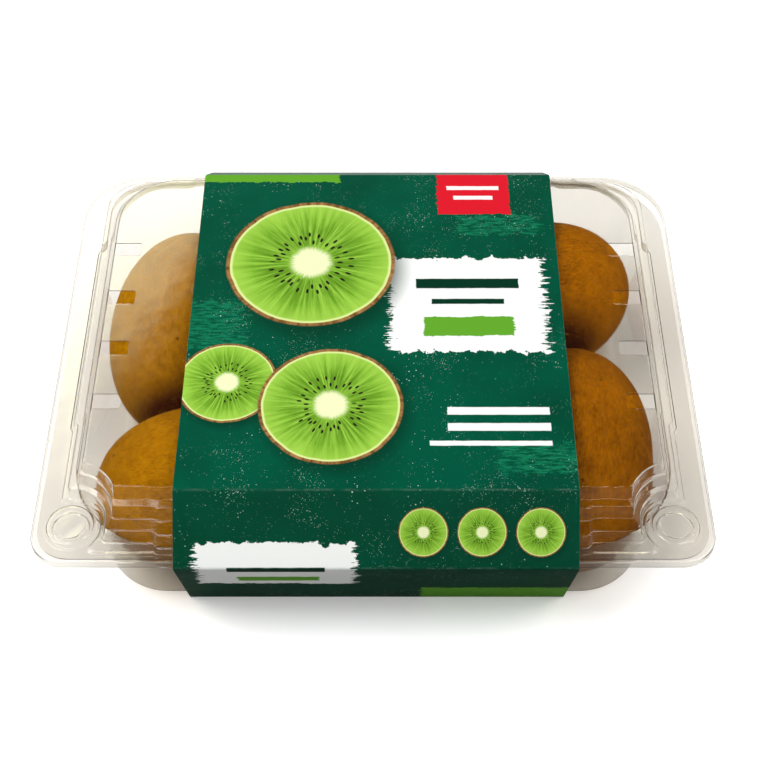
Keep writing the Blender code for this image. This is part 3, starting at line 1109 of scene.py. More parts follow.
class Skin(Enum):
    """Skins of the fruit, from the paler to the browner.  The third is the brown skin made brighter, as
    painted light on the fruit at the back right.
    """

    OLIVE = FruitSkin("olive_skin", light=(0.46, 0.203, 0.0006), dark=(0.23, 0.086, 0.0003))
    GOLDEN = FruitSkin("golden_skin", light=(0.50, 0.215, 0.0005), dark=(0.26, 0.100, 0.0003))
    # The brown skin made brighter: painted light for the fruit at the back right
    BROWN_LIT = FruitSkin("brown_lit_skin", light=(0.50, 0.170, 0.0004), dark=(0.215, 0.066, 0.0002))
    BROWN = FruitSkin("brown_skin")


@dataclass
class Kiwifruit:
    """One whole fruit lying in the tray, its long axis along its own Y."""

    name: str
    node: str
    place: tuple[float, float]
    turn: float
    tilt: float
    size: tuple[float, float, float]
    skin: Skin
    floor: float = 1.6
    rings: int = 110
    sides: int = 150
    fullness: float = 0.95
    lump: float = 0.012
    stem_dimple: float = 1.0
    tip_collar: float = 0.4
    end_spread: float = 0.22
    # Reach in millimetres of the painted contact shade
    contact_shade_reach: float = 10.0
    hairs: int = 6500
    # Hairs keep off the two ends: the largest cosine of a root's angle along the fruit
    hair_spread: float = 0.985
    hair_swing: float = 0.9
    hair_length: tuple[float, float] = (0.5, 1.5)
    hair_lift: tuple[float, float] = (0.06, 0.28)
    hair_half: tuple[float, float] = (0.03, 0.055)
    hair_taper: float = 0.4
    hair_depth: float = 0.05
    seed: int = 3

    def own_points(self, along: Array, around: Array) -> Array:
        """Points of the skin in the fruit's own frame.

        The girth follows sin(t) to the power of the fullness and the axis follows
        cos(t) likewise.  Three shallow lobes swell and sink round it, and near the
        axis the stem end sinks and the tip stands out.

        Args:
            along: Angles from the stem end, 0, to the tip, pi.
            around: Angles round the long axis.

        Returns:
            Points with their coordinates as the last axis.
        """
        width, length, height = self.size
        axis = np.sign(np.cos(along)) * np.abs(np.cos(along)) ** self.fullness
        girth = np.clip(np.sin(along), 0.0, 1.0) ** self.fullness
        lobes = 1.0 - self.lump + self.lump * np.sin(3.0 * around + self.place[0]) * np.sin(along)
        near_axis = np.exp(-(girth / self.end_spread) ** 2)
        x = 0.5 * width * girth * lobes * np.cos(around)
        z = 0.5 * height * girth * lobes * np.sin(around)
        y = 0.5 * length * axis - np.where(axis > 0.0, self.stem_dimple, -self.tip_collar) * near_axis
        return np.stack((x, y + 0.0 * around, z), axis=-1)

    def lift(self) -> float:
        """Height of the middle of the fruit, which rests on the floor of the tray."""
        tilt = math.radians(self.tilt)
        return self.floor + 0.5 * math.hypot(self.size[2] * math.cos(tilt), self.size[1] * math.sin(tilt))

    def in_pack(self, points: Array) -> Array:
        """Points moved from the fruit's own frame to the pack's: tilted about X, then turned about Z.

        Args:
            points: Points with their coordinates as the last axis.

        Returns:
            The moved points.
        """
        tilt, turn = math.radians(self.tilt), math.radians(self.turn)
        x, y, z = points[..., 0], points[..., 1], points[..., 2]
        y, z = y * math.cos(tilt) - z * math.sin(tilt), y * math.sin(tilt) + z * math.cos(tilt)
        x, y = x * math.cos(turn) - y * math.sin(turn), x * math.sin(turn) + y * math.cos(turn)
        return np.stack((x + self.place[0], y + self.place[1], z + self.lift()), axis=-1)

    def to_own(self, points: Array) -> Array:
        """Points moved from the pack's frame back to the fruit's own.

        Args:
            points: Points with their coordinates as the last axis.

        Returns:
            The moved points.
        """
        tilt, turn = math.radians(self.tilt), math.radians(self.turn)
        x, y, z = np.moveaxis(points - (*self.place, self.lift()), -1, 0)
        x, y = x * math.cos(turn) + y * math.sin(turn), y * math.cos(turn) - x * math.sin(turn)
        y, z = y * math.cos(tilt) + z * math.sin(tilt), z * math.cos(tilt) - y * math.sin(tilt)
        return np.stack((x, y, z), axis=-1)

    def gap_to(self, points: Array) -> Array:
        """How far points lie outside the fruit, taken as an ellipsoid: (level - 1) times its mean radius.

        Args:
            points: Points in the pack's frame.

        Returns:
            Their distances, below 0 inside.
        """
        half = 0.5 * np.array(self.size)
        return (np.linalg.norm(self.to_own(points) / half, axis=-1) - 1.0) * half.mean()

    def body(self, material: bpy.types.Material) -> bpy.types.Object:
        """Skin as a closed grid of rings, with what its pattern reads kept as attributes.

        "own_place" is each vertex's place in the fruit's own frame, moved along X so that
        no two fruits look the same, and "closeness" is exp(-(gap / reach)^2) with the gap
        to the nearest other fruit, which the skin turns into painted contact shade.

        Args:
            material: The skin.

        Returns:
            The fruit's body.
        """
        along = np.linspace(0.0, math.pi, self.rings)[:, None]
        around = np.linspace(0.0, 2.0 * math.pi, self.sides, endpoint=False)[None, :]
        patches = Patchwork()
        patches.add(self.in_pack(self.own_points(along, around)), around=True)
        made = patches.to_object(self.name, [material])
        mesh = made.data
        points = np.zeros(len(mesh.vertices) * 3, np.float32)
        mesh.vertices.foreach_get("co", points)
        points = points.reshape(-1, 3) / MM
        own = mesh.attributes.new("own_place", "FLOAT_VECTOR", "POINT")
        shifted = self.to_own(points) + (self.place[0], 0.0, 0.0)
        own.data.foreach_set("vector", shifted.astype(np.float32).ravel())
        gap = np.min([other.gap_to(points) for other in FRUITS if other is not self], axis=0)
        closeness = np.exp(-(np.maximum(gap, 0.0) / self.contact_shade_reach) ** 2)
        near = mesh.attributes.new("closeness", "FLOAT", "POINT")
        near.data.foreach_set("value", closeness.astype(np.float32))
        return made

    def coat(self, material: bpy.types.Material) -> bpy.types.Object:
        """Short hairs that lie nearly flat, each a thin strip of one quad.

        Roots are spread evenly over the sphere of angles.  A hair leaves its root
        along the skin, tipwards with a random turn, and its end lifts a little.

        Args:
            material: The hairs' finish.

        Returns:
            The fruit's hairs.
        """
        random = np.random.default_rng(self.seed)
        along = np.arccos(random.uniform(-self.hair_spread, self.hair_spread, self.hairs))
        around = random.uniform(0.0, 2.0 * math.pi, self.hairs)
        step = 1e-3
        root = self.own_points(along, around)
        down = self.own_points(along + step, around) - root
        across = self.own_points(along, around + step) - root
        down /= np.linalg.norm(down, axis=-1, keepdims=True)
        across /= np.linalg.norm(across, axis=-1, keepdims=True)
        normal = np.cross(across, down)
        normal *= np.sign(np.sum(normal * root, axis=-1, keepdims=True))
        swing = random.normal(0.0, self.hair_swing, (self.hairs, 1))
        heading = np.cos(swing) * down + np.sin(swing) * across
        beside = np.cross(normal, heading)
        length, lift, half = (random.uniform(*limits, (self.hairs, 1))
                              for limits in (self.hair_length, self.hair_lift, self.hair_half))
        tip = root + heading * length + normal * lift
        root = root - self.hair_depth * normal
        strips = np.stack((root + beside * half, root - beside * half,
                           tip - beside * self.hair_taper * half,
                           tip + beside * self.hair_taper * half), axis=1)
        points = self.in_pack(strips)
        points = points[points[..., 2].min(axis=1) > self.floor - 0.1]
        mesh = bpy.data.meshes.new(self.name + "_hairs")
        quads = np.arange(len(points) * 4).reshape(-1, 4)
        mesh.from_pydata((points.reshape(-1, 3) * MM).tolist(), [], quads.tolist())
        return link_mesh(self.name + "_hairs", mesh, [material])

    def build(self, skin: bpy.types.Material, hair: bpy.types.Material) -> None:
        """Make the skin and the hairs and let them stand for the frame's solid.

        Args:
            skin: Material of the skin.
            hair: Material of the hairs.
        """
        body = self.body(skin)
        coat = self.coat(hair)
        for piece in (body, coat):
            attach(piece, "root")
        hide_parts(self.node)


@dataclass
class Sleeve:
    """Band of printed card with six panels folded round the pack."""

    card: float = 0.4
    width: float = 107.2
    middle: float = 0.9
    floor_half: float = 62.2
    nose_half: float = 75.3
    nose_height: float = 36.3
    top_half: float = 59.6
    height: float = 50.1
    fold_radius: float = 1.0
    nose_radius: float = 1.2
    # How much the top panel hangs in its middle, how far in from its edges the sag is full,
    # and the lengths of its waves over 2 pi along X and Y
    sag: float = 0.12
    sag_reach: float = 25.0
    wave_reach: tuple[float, float] = (14.0, 19.0)
    panel_rows: int = 10
    fold_rows: int = 5
    columns: int = 25
    # Length in millimetres that the print's map holds as 1
    mark_scale: float = 400.0

    def corners(self) -> Array:
        """Corners of the outer face, from the top's back edge towards the front and round.

        Returns:
            Their Y and Z, one corner a row.
        """
        return np.array([(self.top_half, self.height), (-self.top_half, self.height),
                         (-self.nose_half, self.nose_height), (-self.floor_half, 0.0),
                         (self.floor_half, 0.0), (self.nose_half, self.nose_height)])

    def inner_corners(self) -> Array:
        """Corners moved in by the card's thickness d: by d (n + m) / (1 + n.m) of their inward normals.

        Returns:
            Their Y and Z, one corner a row.
        """
        outer = self.corners()
        lines = np.roll(outer, -1, axis=0) - outer
        lines /= np.linalg.norm(lines, axis=1, keepdims=True)
        normal = np.stack((-lines[:, 1], lines[:, 0]), axis=-1)
        before = np.roll(normal, 1, axis=0)
        dot = np.sum(normal * before, axis=1, keepdims=True)
        return outer + self.card * (normal + before) / (1.0 + dot)

    def section(self, corners: Array, thinner: float) -> tuple[Array, Array]:
        """Closed section with rounded folds and evenly divided panels, and each point's way along it.

        Args:
            corners: Its corners in Y and Z.
            thinner: What the folds' radii lose, 0 outside and the card's thickness inside.

        Returns:
            Points with the first repeated last, and their ways in millimetres from the first corner.
        """
        radii = np.array(2 * (self.fold_radius, self.fold_radius, self.nose_radius)) - thinner
        bends = eased_path(corners, radii, steps=self.fold_rows, closed=True)
        bends = bends.reshape(len(corners), self.fold_rows, 2)
        share = np.linspace(0.0, 1.0, self.panel_rows)[1:-1, None]
        panels = mix(bends[:, -1][:, None], np.roll(bends, -1, axis=0)[:, 0][:, None], share[None])
        points = np.concatenate((bends, panels), axis=1).reshape(-1, 2)
        points = np.concatenate((points, points[:1]))
        way = np.concatenate(([0.0], np.cumsum(np.linalg.norm(np.diff(points, axis=0), axis=1))))
        return points, way

    def wall(self, section: Array, way: Array) -> tuple[Array, Array]:
        """Section carried along X, with the top panel hanging a little in its middle.

        Args:
            section: Points in Y and Z.
            way: Their ways along the section.

        Returns:
            Points as rows x columns x 3, and their marks for the print as rows x columns x 2.
        """
        x = np.linspace(-0.5 * self.width, 0.5 * self.width, self.columns)[None, :]
        y, z = section[:, :1], section[:, 1:]
        reach_x, reach_y = self.wave_reach
        on_top = ease((z - self.height + 2.0) / 1.0) * ease((self.top_half - np.abs(y)) / self.sag_reach)
        waves = 0.5 + 0.5 * np.cos(x / reach_x + 0.5) * np.sin(y / reach_y + 1.0)
        height = z - self.sag * on_top * waves
        marks = flat_points(x + 0.5 * self.width, way[:, None])
        return lifted(flat_points(x + self.middle, y), height[..., None]), marks / self.mark_scale

    def build(self, print_finish: "Print", plain: PlainCard) -> bpy.types.Object:
        """Make outer face, inner face and the cut edges as one closed band.

        Args:
            print_finish: The print outside.
            plain: The bare card inside and on the cut edges.

        Returns:
            The sleeve.
        """
        outer, way = self.section(self.corners(), 0.0)
        inner, inner_way = self.section(self.inner_corners(), self.card)
        outside, mark = self.wall(outer, way)
        inside, inner_mark = self.wall(inner, inner_way)
        patches = Patchwork()
        patches.add(outside, mark=mark, slot=0)
        patches.add(inside, mark=inner_mark, slot=1)
        for column in (0, -1):
            patches.add(np.stack((outside[:, column], inside[:, column]), axis=1), slot=1)
        made = patches.to_object("card_sleeve", [print_finish.build(self), plain.build()])
        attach(made, "root")
        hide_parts("sleeve")
        return made


@dataclass(frozen=True)
class SliceFinish:
    """Colours and measures of a printed fruit slice.  Measures are shares of its radius."""

    flesh: Colour = (0.095, 0.235, 0.011)
    light_flesh: Colour = (0.225, 0.42, 0.045)
    ray: Colour = (0.060, 0.155, 0.007)
    outer_flesh: Colour = (0.28, 0.48, 0.06)
    seed: Colour = (0.012, 0.010, 0.006)
    core: Colour = (0.60, 0.63, 0.37)
    pale_line: Colour = (0.50, 0.58, 0.22)
    rim: Colour = (0.11, 0.045, 0.012)
    light_rim: Colour = (0.29, 0.145, 0.05)
    # How far the outline wanders, and how many noise blobs the outline and the streaks span
    wobble: float = 0.05
    wobble_span: float = 2.2
    streak_span: float = 14.0
    streak_stretch: float = 1.6
    # Where the dark rays begin and end, and where the flesh turns paler
    rays: tuple[float, float] = (0.27, 0.62)
    ray_strength: float = 0.75
    outer_radius: float = 0.80
    outer_strength: float = 0.55
    core_radius: float = 0.23
    core_fray: float = 0.16
    line_radius: float = 0.925
    rim_radius: float = 0.955
    seeds_round: int = 25
    # Distance of each ring of seeds from the centre, and its start in cells
    seed_rings: tuple = ((0.44, 0.0), (0.355, 0.5))
    seed_scatter: float = 0.09
    # Half a seed's width and half its length
    seed_half: tuple[float, float] = (0.0155, 0.036)
    seed_missing: float = 0.12


class PrintGroups:
    """Pattern groups of the print, each built once: a round slice, a rough field and splatter."""

    def __init__(self) -> None:
        """Build the three groups."""
        self.slice = self.build_slice(SliceFinish())
        self.rough_field = self.build_rough_field()
        self.splatter = self.build_splatter()

    def build_slice(self, finish: SliceFinish) -> Group:
        """Simple round fruit slice: brown rim, pale line, streaked green flesh, seeds, pale core.

        Everything follows the distance from the centre over the radius, r, and the angle.
        Streaks are noise that hardly changes along r.  Seeds lie in equal cells of the
        angle, in two rings half a cell apart, each at its own random distance.

        Args:
            finish: Its colours and measures.

        Returns:
            The group, whose outputs are Colour and Mask.
        """
        group = Group("round_slice", {"X": 0.0, "Y": 0.0, "Radius": 10.0, "Turn": 0.0},
                      {"Colour": "NodeSocketColor", "Mask": "NodeSocketFloat"})
        tree = group.tree
        x, y = group.given("X"), group.given("Y")
        angle = y.math("ARCTAN2", x) + group.given("Turn")
        cosine, sine = angle.math("COSINE"), angle.math("SINE")
        around = joined(tree, cosine * finish.wobble_span, sine * finish.wobble_span)
        wobble = noise(tree, around, 1.0, detail=2.0) - 0.5
        r = x.length(y) / (group.given("Radius") * (wobble * finish.wobble + 1.0))
        streak_place = joined(tree, cosine * finish.streak_span, sine * finish.streak_span,
                              r * finish.streak_stretch)
        streaks = noise(tree, streak_place, 1.0, detail=3.0, rough=0.65)
        colour = blend(tree, finish.flesh, finish.light_flesh, streaks.above(0.5, 0.34))
        begin, end = finish.rays
        rays = r.above(begin, 0.1) * r.below(end, 0.22) * streaks.below(0.52, 0.2)
        colour = blend(tree, colour, finish.ray, rays * finish.ray_strength)
        outer = r.above(finish.outer_radius, 0.2) * finish.outer_strength
        colour = blend(tree, colour, finish.outer_flesh, outer)
        for ring, (middle, start) in enumerate(finish.seed_rings):
            seed = self.seed_mask(tree, finish, angle, r, ring, middle, start)
            colour = blend(tree, colour, finish.seed, seed)
        core = (r + (streaks - 0.5) * finish.core_fray).below(finish.core_radius, 0.07)
        colour = blend(tree, colour, finish.core, core)
        colour = blend(tree, colour, finish.pale_line, r.above(finish.line_radius, 0.02))
        rim = blend(tree, finish.rim, finish.light_rim, streaks.above(0.5, 0.3))
        group.give("Colour", blend(tree, colour, rim, r.above(finish.rim_radius, 0.012)))
        group.give("Mask", r.below(1.0, 0.02))
        return group

    def seed_mask(self, tree: bpy.types.NodeTree, finish: SliceFinish, angle: Field, r: Field,
                  ring: int, middle: float, start: float) -> Field:
        """One ring of seeds: an oblong spot in each cell of the angle, a few cells left bare.

        Args:
            tree: The slice's tree.
            finish: The slice's measures.
            angle: Angle round the slice.
            r: Distance from its centre over its radius.
            ring: Number of the ring, which sets its random values.
            middle: The ring's distance from the centre.
            start: Where its first cell starts, in cells.

        Returns:
            The mask, 1 on a seed.
        """
        cell = angle * (finish.seeds_round / (2.0 * math.pi)) + start
        index = cell.math("FLOOR")
        random = tree.nodes.new("ShaderNodeTexWhiteNoise")
        random.noise_dimensions = "1D"
        connect(tree, index + (17.3 * ring + 0.5), random.inputs["W"])
        own = Field(tree, random.outputs["Value"])
        half_width, half_length = finish.seed_half
        beside = (cell - index - 0.5) * r * (2.0 * math.pi / finish.seeds_round)
        beyond = r - middle - (own - 0.5) * finish.seed_scatter
        seed = (beside / half_width).length(beyond / half_length)
        return seed.below(1.0, 0.25) * own.above(finish.seed_missing, 0.02)

    def build_rough_field(self) -> Group:
        """Oblong field of colour with dry-brush edges.

        The distance outside the oblong, max(|x| - half width, |y| - half height), is moved
        by the given blotches and bristle marks, and the field lies where it is below 0.

        Returns:
            The group, whose output is Mask.
        """
        inputs = {"X": 0.0, "Y": 0.0, "Half Width": 10.0, "Half Height": 5.0, "Rough": 1.0,
                  "Blotch": 0.0, "Bristle": 0.0}
        group = Group("rough_field", inputs, {"Mask": "NodeSocketFloat"})
        rough = group.given("Rough")
        beyond_x = group.given("X").size() - group.given("Half Width")
        beyond_x = beyond_x + group.given("Bristle") * rough * 4.5
        beyond_y = group.given("Y").size() - group.given("Half Height")
        beyond = beyond_x.math("MAXIMUM", beyond_y) + group.given("Blotch") * rough * 3.2
        group.give("Mask", beyond.below(0.0, 0.22))
        return group

    def build_splatter(self) -> Group:
        """Fine drops: cells whose random size passes a limit that a broad noise sets.

        Returns:
            The group, whose output is Mask.
        """
        inputs = {"X": 0.0, "Y": 0.0, "Scale": 1.0, "Amount": 0.3}
        group = Group("splatter", inputs, {"Mask": "NodeSocketFloat"})
        tree = group.tree
        x, y, scale = group.given("X"), group.given("Y"), group.given("Scale")
        cells = tree.nodes.new("ShaderNodeTexVoronoi")
        cells.inputs["Scale"].default_value = 1.0
        connect(tree, joined(tree, x * scale, y * scale), cells.inputs["Vector"])
        own = tree.nodes.new("ShaderNodeSeparateColor")
        tree.links.new(cells.outputs["Color"], own.inputs["Color"])
        broad = noise(tree, joined(tree, x, y, 7.0), 0.09, detail=3.0, rough=0.6)
        size = (Field(tree, own.outputs[0]) + broad * 1.6 + group.given("Amount") - 1.9).math("MAXIMUM", 0.0)
        drops = (Field(tree, cells.outputs["Distance"]) - size * 0.6).below(0.0, 0.06)
        group.give("Mask", drops * size.above(0.03, 0.02))
        return group


@dataclass(frozen=True)
class PrintSheet:
    """What the print's layers are made from: its tree and groups, the place and its unevenness."""

    tree: bpy.types.NodeTree
    groups: PrintGroups
    u: Field
    v: Field
    blotch: Field
    bristle: Field


@dataclass(frozen=True)
class Print:
    """Satin print on the card: green ground with plain fields, round slices and splatter.

    Places are in millimetres: u from the left edge, v from the top's back edge
    down the top, the upper front and the lower front.
    """

    green: Colour = (0.0004, 0.060, 0.031)
    bright_green: Colour = (0.006, 0.150, 0.070)
    dark_green: Colour = (0.0009, 0.024, 0.012)
    lime: Colour = (0.085, 0.265, 0.018)
    red: Colour = (0.50, 0.008, 0.018)
    white: Colour = (0.64, 0.65, 0.63)
    drop: Colour = (0.36, 0.48, 0.40)
    worn: Colour = (0.22, 0.32, 0.27)
    front_fold: float = 119.2
    # How much darker the front panels are painted: painted shade on the panels that face away from the lights
    front_painted_shade: float = 0.42
    roughness: float = 0.42
    specular: float = 0.03
    relief: float = 0.04 * MM
    # Scales of the unevenness: blotches, and along u and v of bristle marks and brush streaks
    blotch_scale: float = 0.28
    bristle_scales: tuple[float, float] = (0.12, 1.5)
    brush_scales: tuple[float, float] = (0.25, 1.3)
    cloud_scale: float = 0.035
    cloud_strength: float = 0.55
    # Scale and amount of the two layers of splatter, how strongly they show, and how far
    # the second is moved along u
    splatter: tuple = ((1.5, 0.34), (3.2, 0.40))
    splatter_strength: float = 0.85
    fine_shift: float = 31.0
    # Middle u and v, half width and half height of the brushed patches of the ground
    brushed: tuple = ((4.0, 62.0, 12.0, 9.0), (100.0, 109.0, 13.0, 5.0), (90.0, 22.0, 12.0, 4.0))
    brushed_rough: float = 3.0
    brushed_strength: float = 0.75
    shade_strength: float = 0.7
    worn_strength: float = 0.15
    # u, v, radius and turn of the slices on the top
    slices: tuple = ((34.0, 37.5, 25.0, 0.0), (12.0, 83.0, 14.0, 1.3), (41.0, 91.0, 20.0, 2.1))
    # The first small slice, their spacing and their number
    small_slice: tuple = (66.0, 130.5, 6.6, 0.6)
    small_pitch: float = 15.5
    small_count: int = 3

    def field(self, sheet: PrintSheet, place: tuple, rough: float) -> Field:
        """Mask of one rough-edged field of colour.

        Args:
            sheet: What the print is made from.
            place: Its middle u, v, half width and half height.
            rough: How far its edge wanders.

        Returns:
            The mask, 1 on the field.
        """
        u, v, half_width, half_height = place
        return sheet.groups.rough_field.place(
            sheet.tree, X=sheet.u - u, Y=sheet.v - v, Half_Width=half_width, Half_Height=half_height,
            Rough=rough, Blotch=sheet.blotch, Bristle=sheet.bristle)["Mask"]

    def build(self, sleeve: Sleeve) -> bpy.types.Material:
        """Make the material on the sleeve's print map, read in millimetres.

        Args:
            sleeve: The sleeve that is printed.

        Returns:
            The material.
        """
        material, tree, shader = new_material("sleeve_print")
        marks = tree.nodes.new("ShaderNodeUVMap")
        marks.uv_map = "print"
        parts = tree.nodes.new("ShaderNodeSeparateXYZ")
        tree.links.new(marks.outputs["UV"], parts.inputs["Vector"])
        u, v = (Field(tree, parts.outputs[i]) * sleeve.mark_scale for i in (0, 1))
        blotch = noise(tree, joined(tree, u, v), self.blotch_scale, detail=5.0, rough=0.65) - 0.5
        along, down = self.bristle_scales
        bristle = noise(tree, joined(tree, u * along, v * down, 3.0), 1.0, detail=3.0, rough=0.6) - 0.5
        sheet = PrintSheet(tree, PrintGroups(), u, v, blotch, bristle)
        colour = self.fruit_slices(sheet, self.labels(sheet, self.ground(sheet)))
        connect(tree, self.worn_folds(sheet, colour, sleeve), shader.inputs["Base Color"])
        connect(tree, bumped(tree, blotch, self.relief), shader.inputs["Normal"])
        connect(tree, blotch * 0.1 + self.roughness, shader.inputs["Roughness"])
        shader.inputs["Specular IOR Level"].default_value = self.specular
        return material

    def ground(self, sheet: PrintSheet) -> Field:
        """Green ground, deeper in clouds, with painted shade on the front, brush marks and light splatter.

        Args:
            sheet: What the print is made from.

        Returns:
            Its colour.
        """
        tree, u, v = sheet.tree, sheet.u, sheet.v
        clouds = noise(tree, joined(tree, u, v), self.cloud_scale, detail=3.0)
        colour = blend(tree, self.green, self.dark_green, clouds.above(0.56, 0.3) * self.cloud_strength)
        # Painted shade: the front panels darker than the top
        on_front = v.above(self.front_fold, 0.8)
        colour = blend(tree, colour, self.dark_green, on_front * self.front_painted_shade)
        along, down = self.brush_scales
        streak = noise(tree, joined(tree, u * along, v * down), 1.0, detail=4.0, rough=0.7)
        for place in self.brushed:
            mask = self.field(sheet, place, self.brushed_rough) * streak.above(0.5, 0.12)
            colour = blend(tree, colour, self.bright_green, mask * self.brushed_strength)
        (scale, amount), (fine_scale, fine_amount) = self.splatter
        splatter = sheet.groups.splatter
        drops = splatter.place(tree, X=u, Y=v, Scale=scale, Amount=amount)["Mask"]
        fine = splatter.place(tree, X=u + self.fine_shift, Y=v, Scale=fine_scale, Amount=fine_amount)["Mask"]
        return blend(tree, colour, self.drop, drops.math("MAXIMUM", fine) * self.splatter_strength)

    def label_rows(self) -> tuple:
        """Bare fields and plain rules, from the undermost up.

        Returns:
            For each its colour, its middle u and v, half width and half height, and how far
            its edge wanders.
        """
        return (
            (self.white, (80.0, 54.0, 22.5, 18.0), 2.4), (self.dark_green, (80.0, 46.0, 15.0, 1.9), 0.12),
            (self.dark_green, (80.0, 53.0, 10.5, 1.0), 0.1), (self.lime, (80.0, 62.5, 13.0, 3.6), 0.55),
            (self.red, (83.0, 5.0, 11.0, 12.5), 0.6), (self.white, (83.0, 6.2, 8.0, 0.8), 0.1),
            (self.white, (83.0, 10.4, 6.0, 0.8), 0.1), (self.lime, (18.0, -2.0, 24.0, 5.6), 1.1),
            (self.white, (87.0, 93.0, 14.0, 1.3), 0.1), (self.white, (87.0, 98.5, 14.0, 1.3), 0.1),
            (self.white, (84.5, 104.0, 16.5, 0.8), 0.1), (self.white, (27.0, 146.0, 21.0, 12.5), 2.0),
            (self.dark_green, (27.0, 141.5, 13.0, 1.6), 0.12), (self.lime, (27.0, 152.0, 11.0, 2.6), 0.5),
            (self.lime, (92.0, 172.0, 26.0, 7.5), 1.3))

    def labels(self, sheet: PrintSheet, colour: Field) -> Field:
        """Bare white, red and lime fields, with plain rules on and beside them.

        Args:
            sheet: What the print is made from.
            colour: Colour under them.

        Returns:
            The colour with them.
        """
        for over, place, rough in self.label_rows():
            colour = blend(sheet.tree, colour, over, self.field(sheet, place, rough))
        return colour

    def fruit_slices(self, sheet: PrintSheet, colour: Field) -> Field:
        """Simple round slices, each over a soft dark shade, and a row of small ones in front.

        The small ones are one slice whose u goes back by the pitch at each step.

        Args:
            sheet: What the print is made from.
            colour: Colour under them.

        Returns:
            The colour with them.
        """
        tree = sheet.tree
        for u, v, radius, turn in (*self.slices, self.small_slice):
            x, y = sheet.u - u, sheet.v - v
            if v == self.small_slice[1]:
                step = (x / self.small_pitch + 0.5).math("FLOOR").math("MAXIMUM", 0.0)
                x = x - step.math("MINIMUM", self.small_count - 1.0) * self.small_pitch
            shade = (x - 0.06 * radius).length(y - 0.1 * radius).below(radius * 1.04, radius * 0.22)
            colour = blend(tree, colour, self.dark_green, shade * self.shade_strength)
            made = sheet.groups.slice.place(tree, X=x, Y=y, Radius=radius, Turn=turn)
            colour = blend(tree, colour, made["Colour"], made["Mask"])
        return colour

    def worn_folds(self, sheet: PrintSheet, colour: Field, sleeve: Sleeve) -> Field:
        """Thin broken pale lines where the card is folded, and paler cut edges.

        Args:
            sheet: What the print is made from.
            colour: Colour under them.
            sleeve: The sleeve, for the places of its folds.

        Returns:
            The colour with them.
        """
        patchy = sheet.blotch + sheet.bristle * 0.5 + 0.5
        corners = sleeve.corners()
        ways = np.cumsum(np.linalg.norm(np.roll(corners, -1, axis=0) - corners, axis=1))
        half = 0.5 * sleeve.width
        worn = (sheet.u - half).size().above(half - 0.18, 0.25)
        for way in ways[:-1]:
            worn = worn.math("MAXIMUM", (sheet.v - float(way)).size().below(0.3, 0.5))
        return blend(sheet.tree, colour, self.worn, worn * patchy.above(0.55, 0.3) * self.worn_strength)


@dataclass(frozen=True)
class Lamp:
    """Square soft light: name, place in metres, side in metres and power in watts."""

    name: str
    place: tuple[float, float, float]
    side: float
    power: float
    aim: tuple[float, float, float] = (0.0, 0.0, 0.03)

    def build(self) -> None:
        """Make the light, which faces its aim and isn't mirrored itself."""
        lamp = bpy.data.lights.new(self.name, "AREA")
        lamp.shape = "RECTANGLE"
        lamp.size, lamp.size_y = self.side, self.side
        lamp.energy = self.power
        made = bpy.data.objects.new(self.name, lamp)
        made.location = self.place
        facing = np.subtract(self.aim, self.place)
        made.rotation_euler = Vector(facing).to_track_quat("-Z", "Y").to_euler()
        made.visible_glossy = False
        bpy.context.scene.collection.objects.link(made)


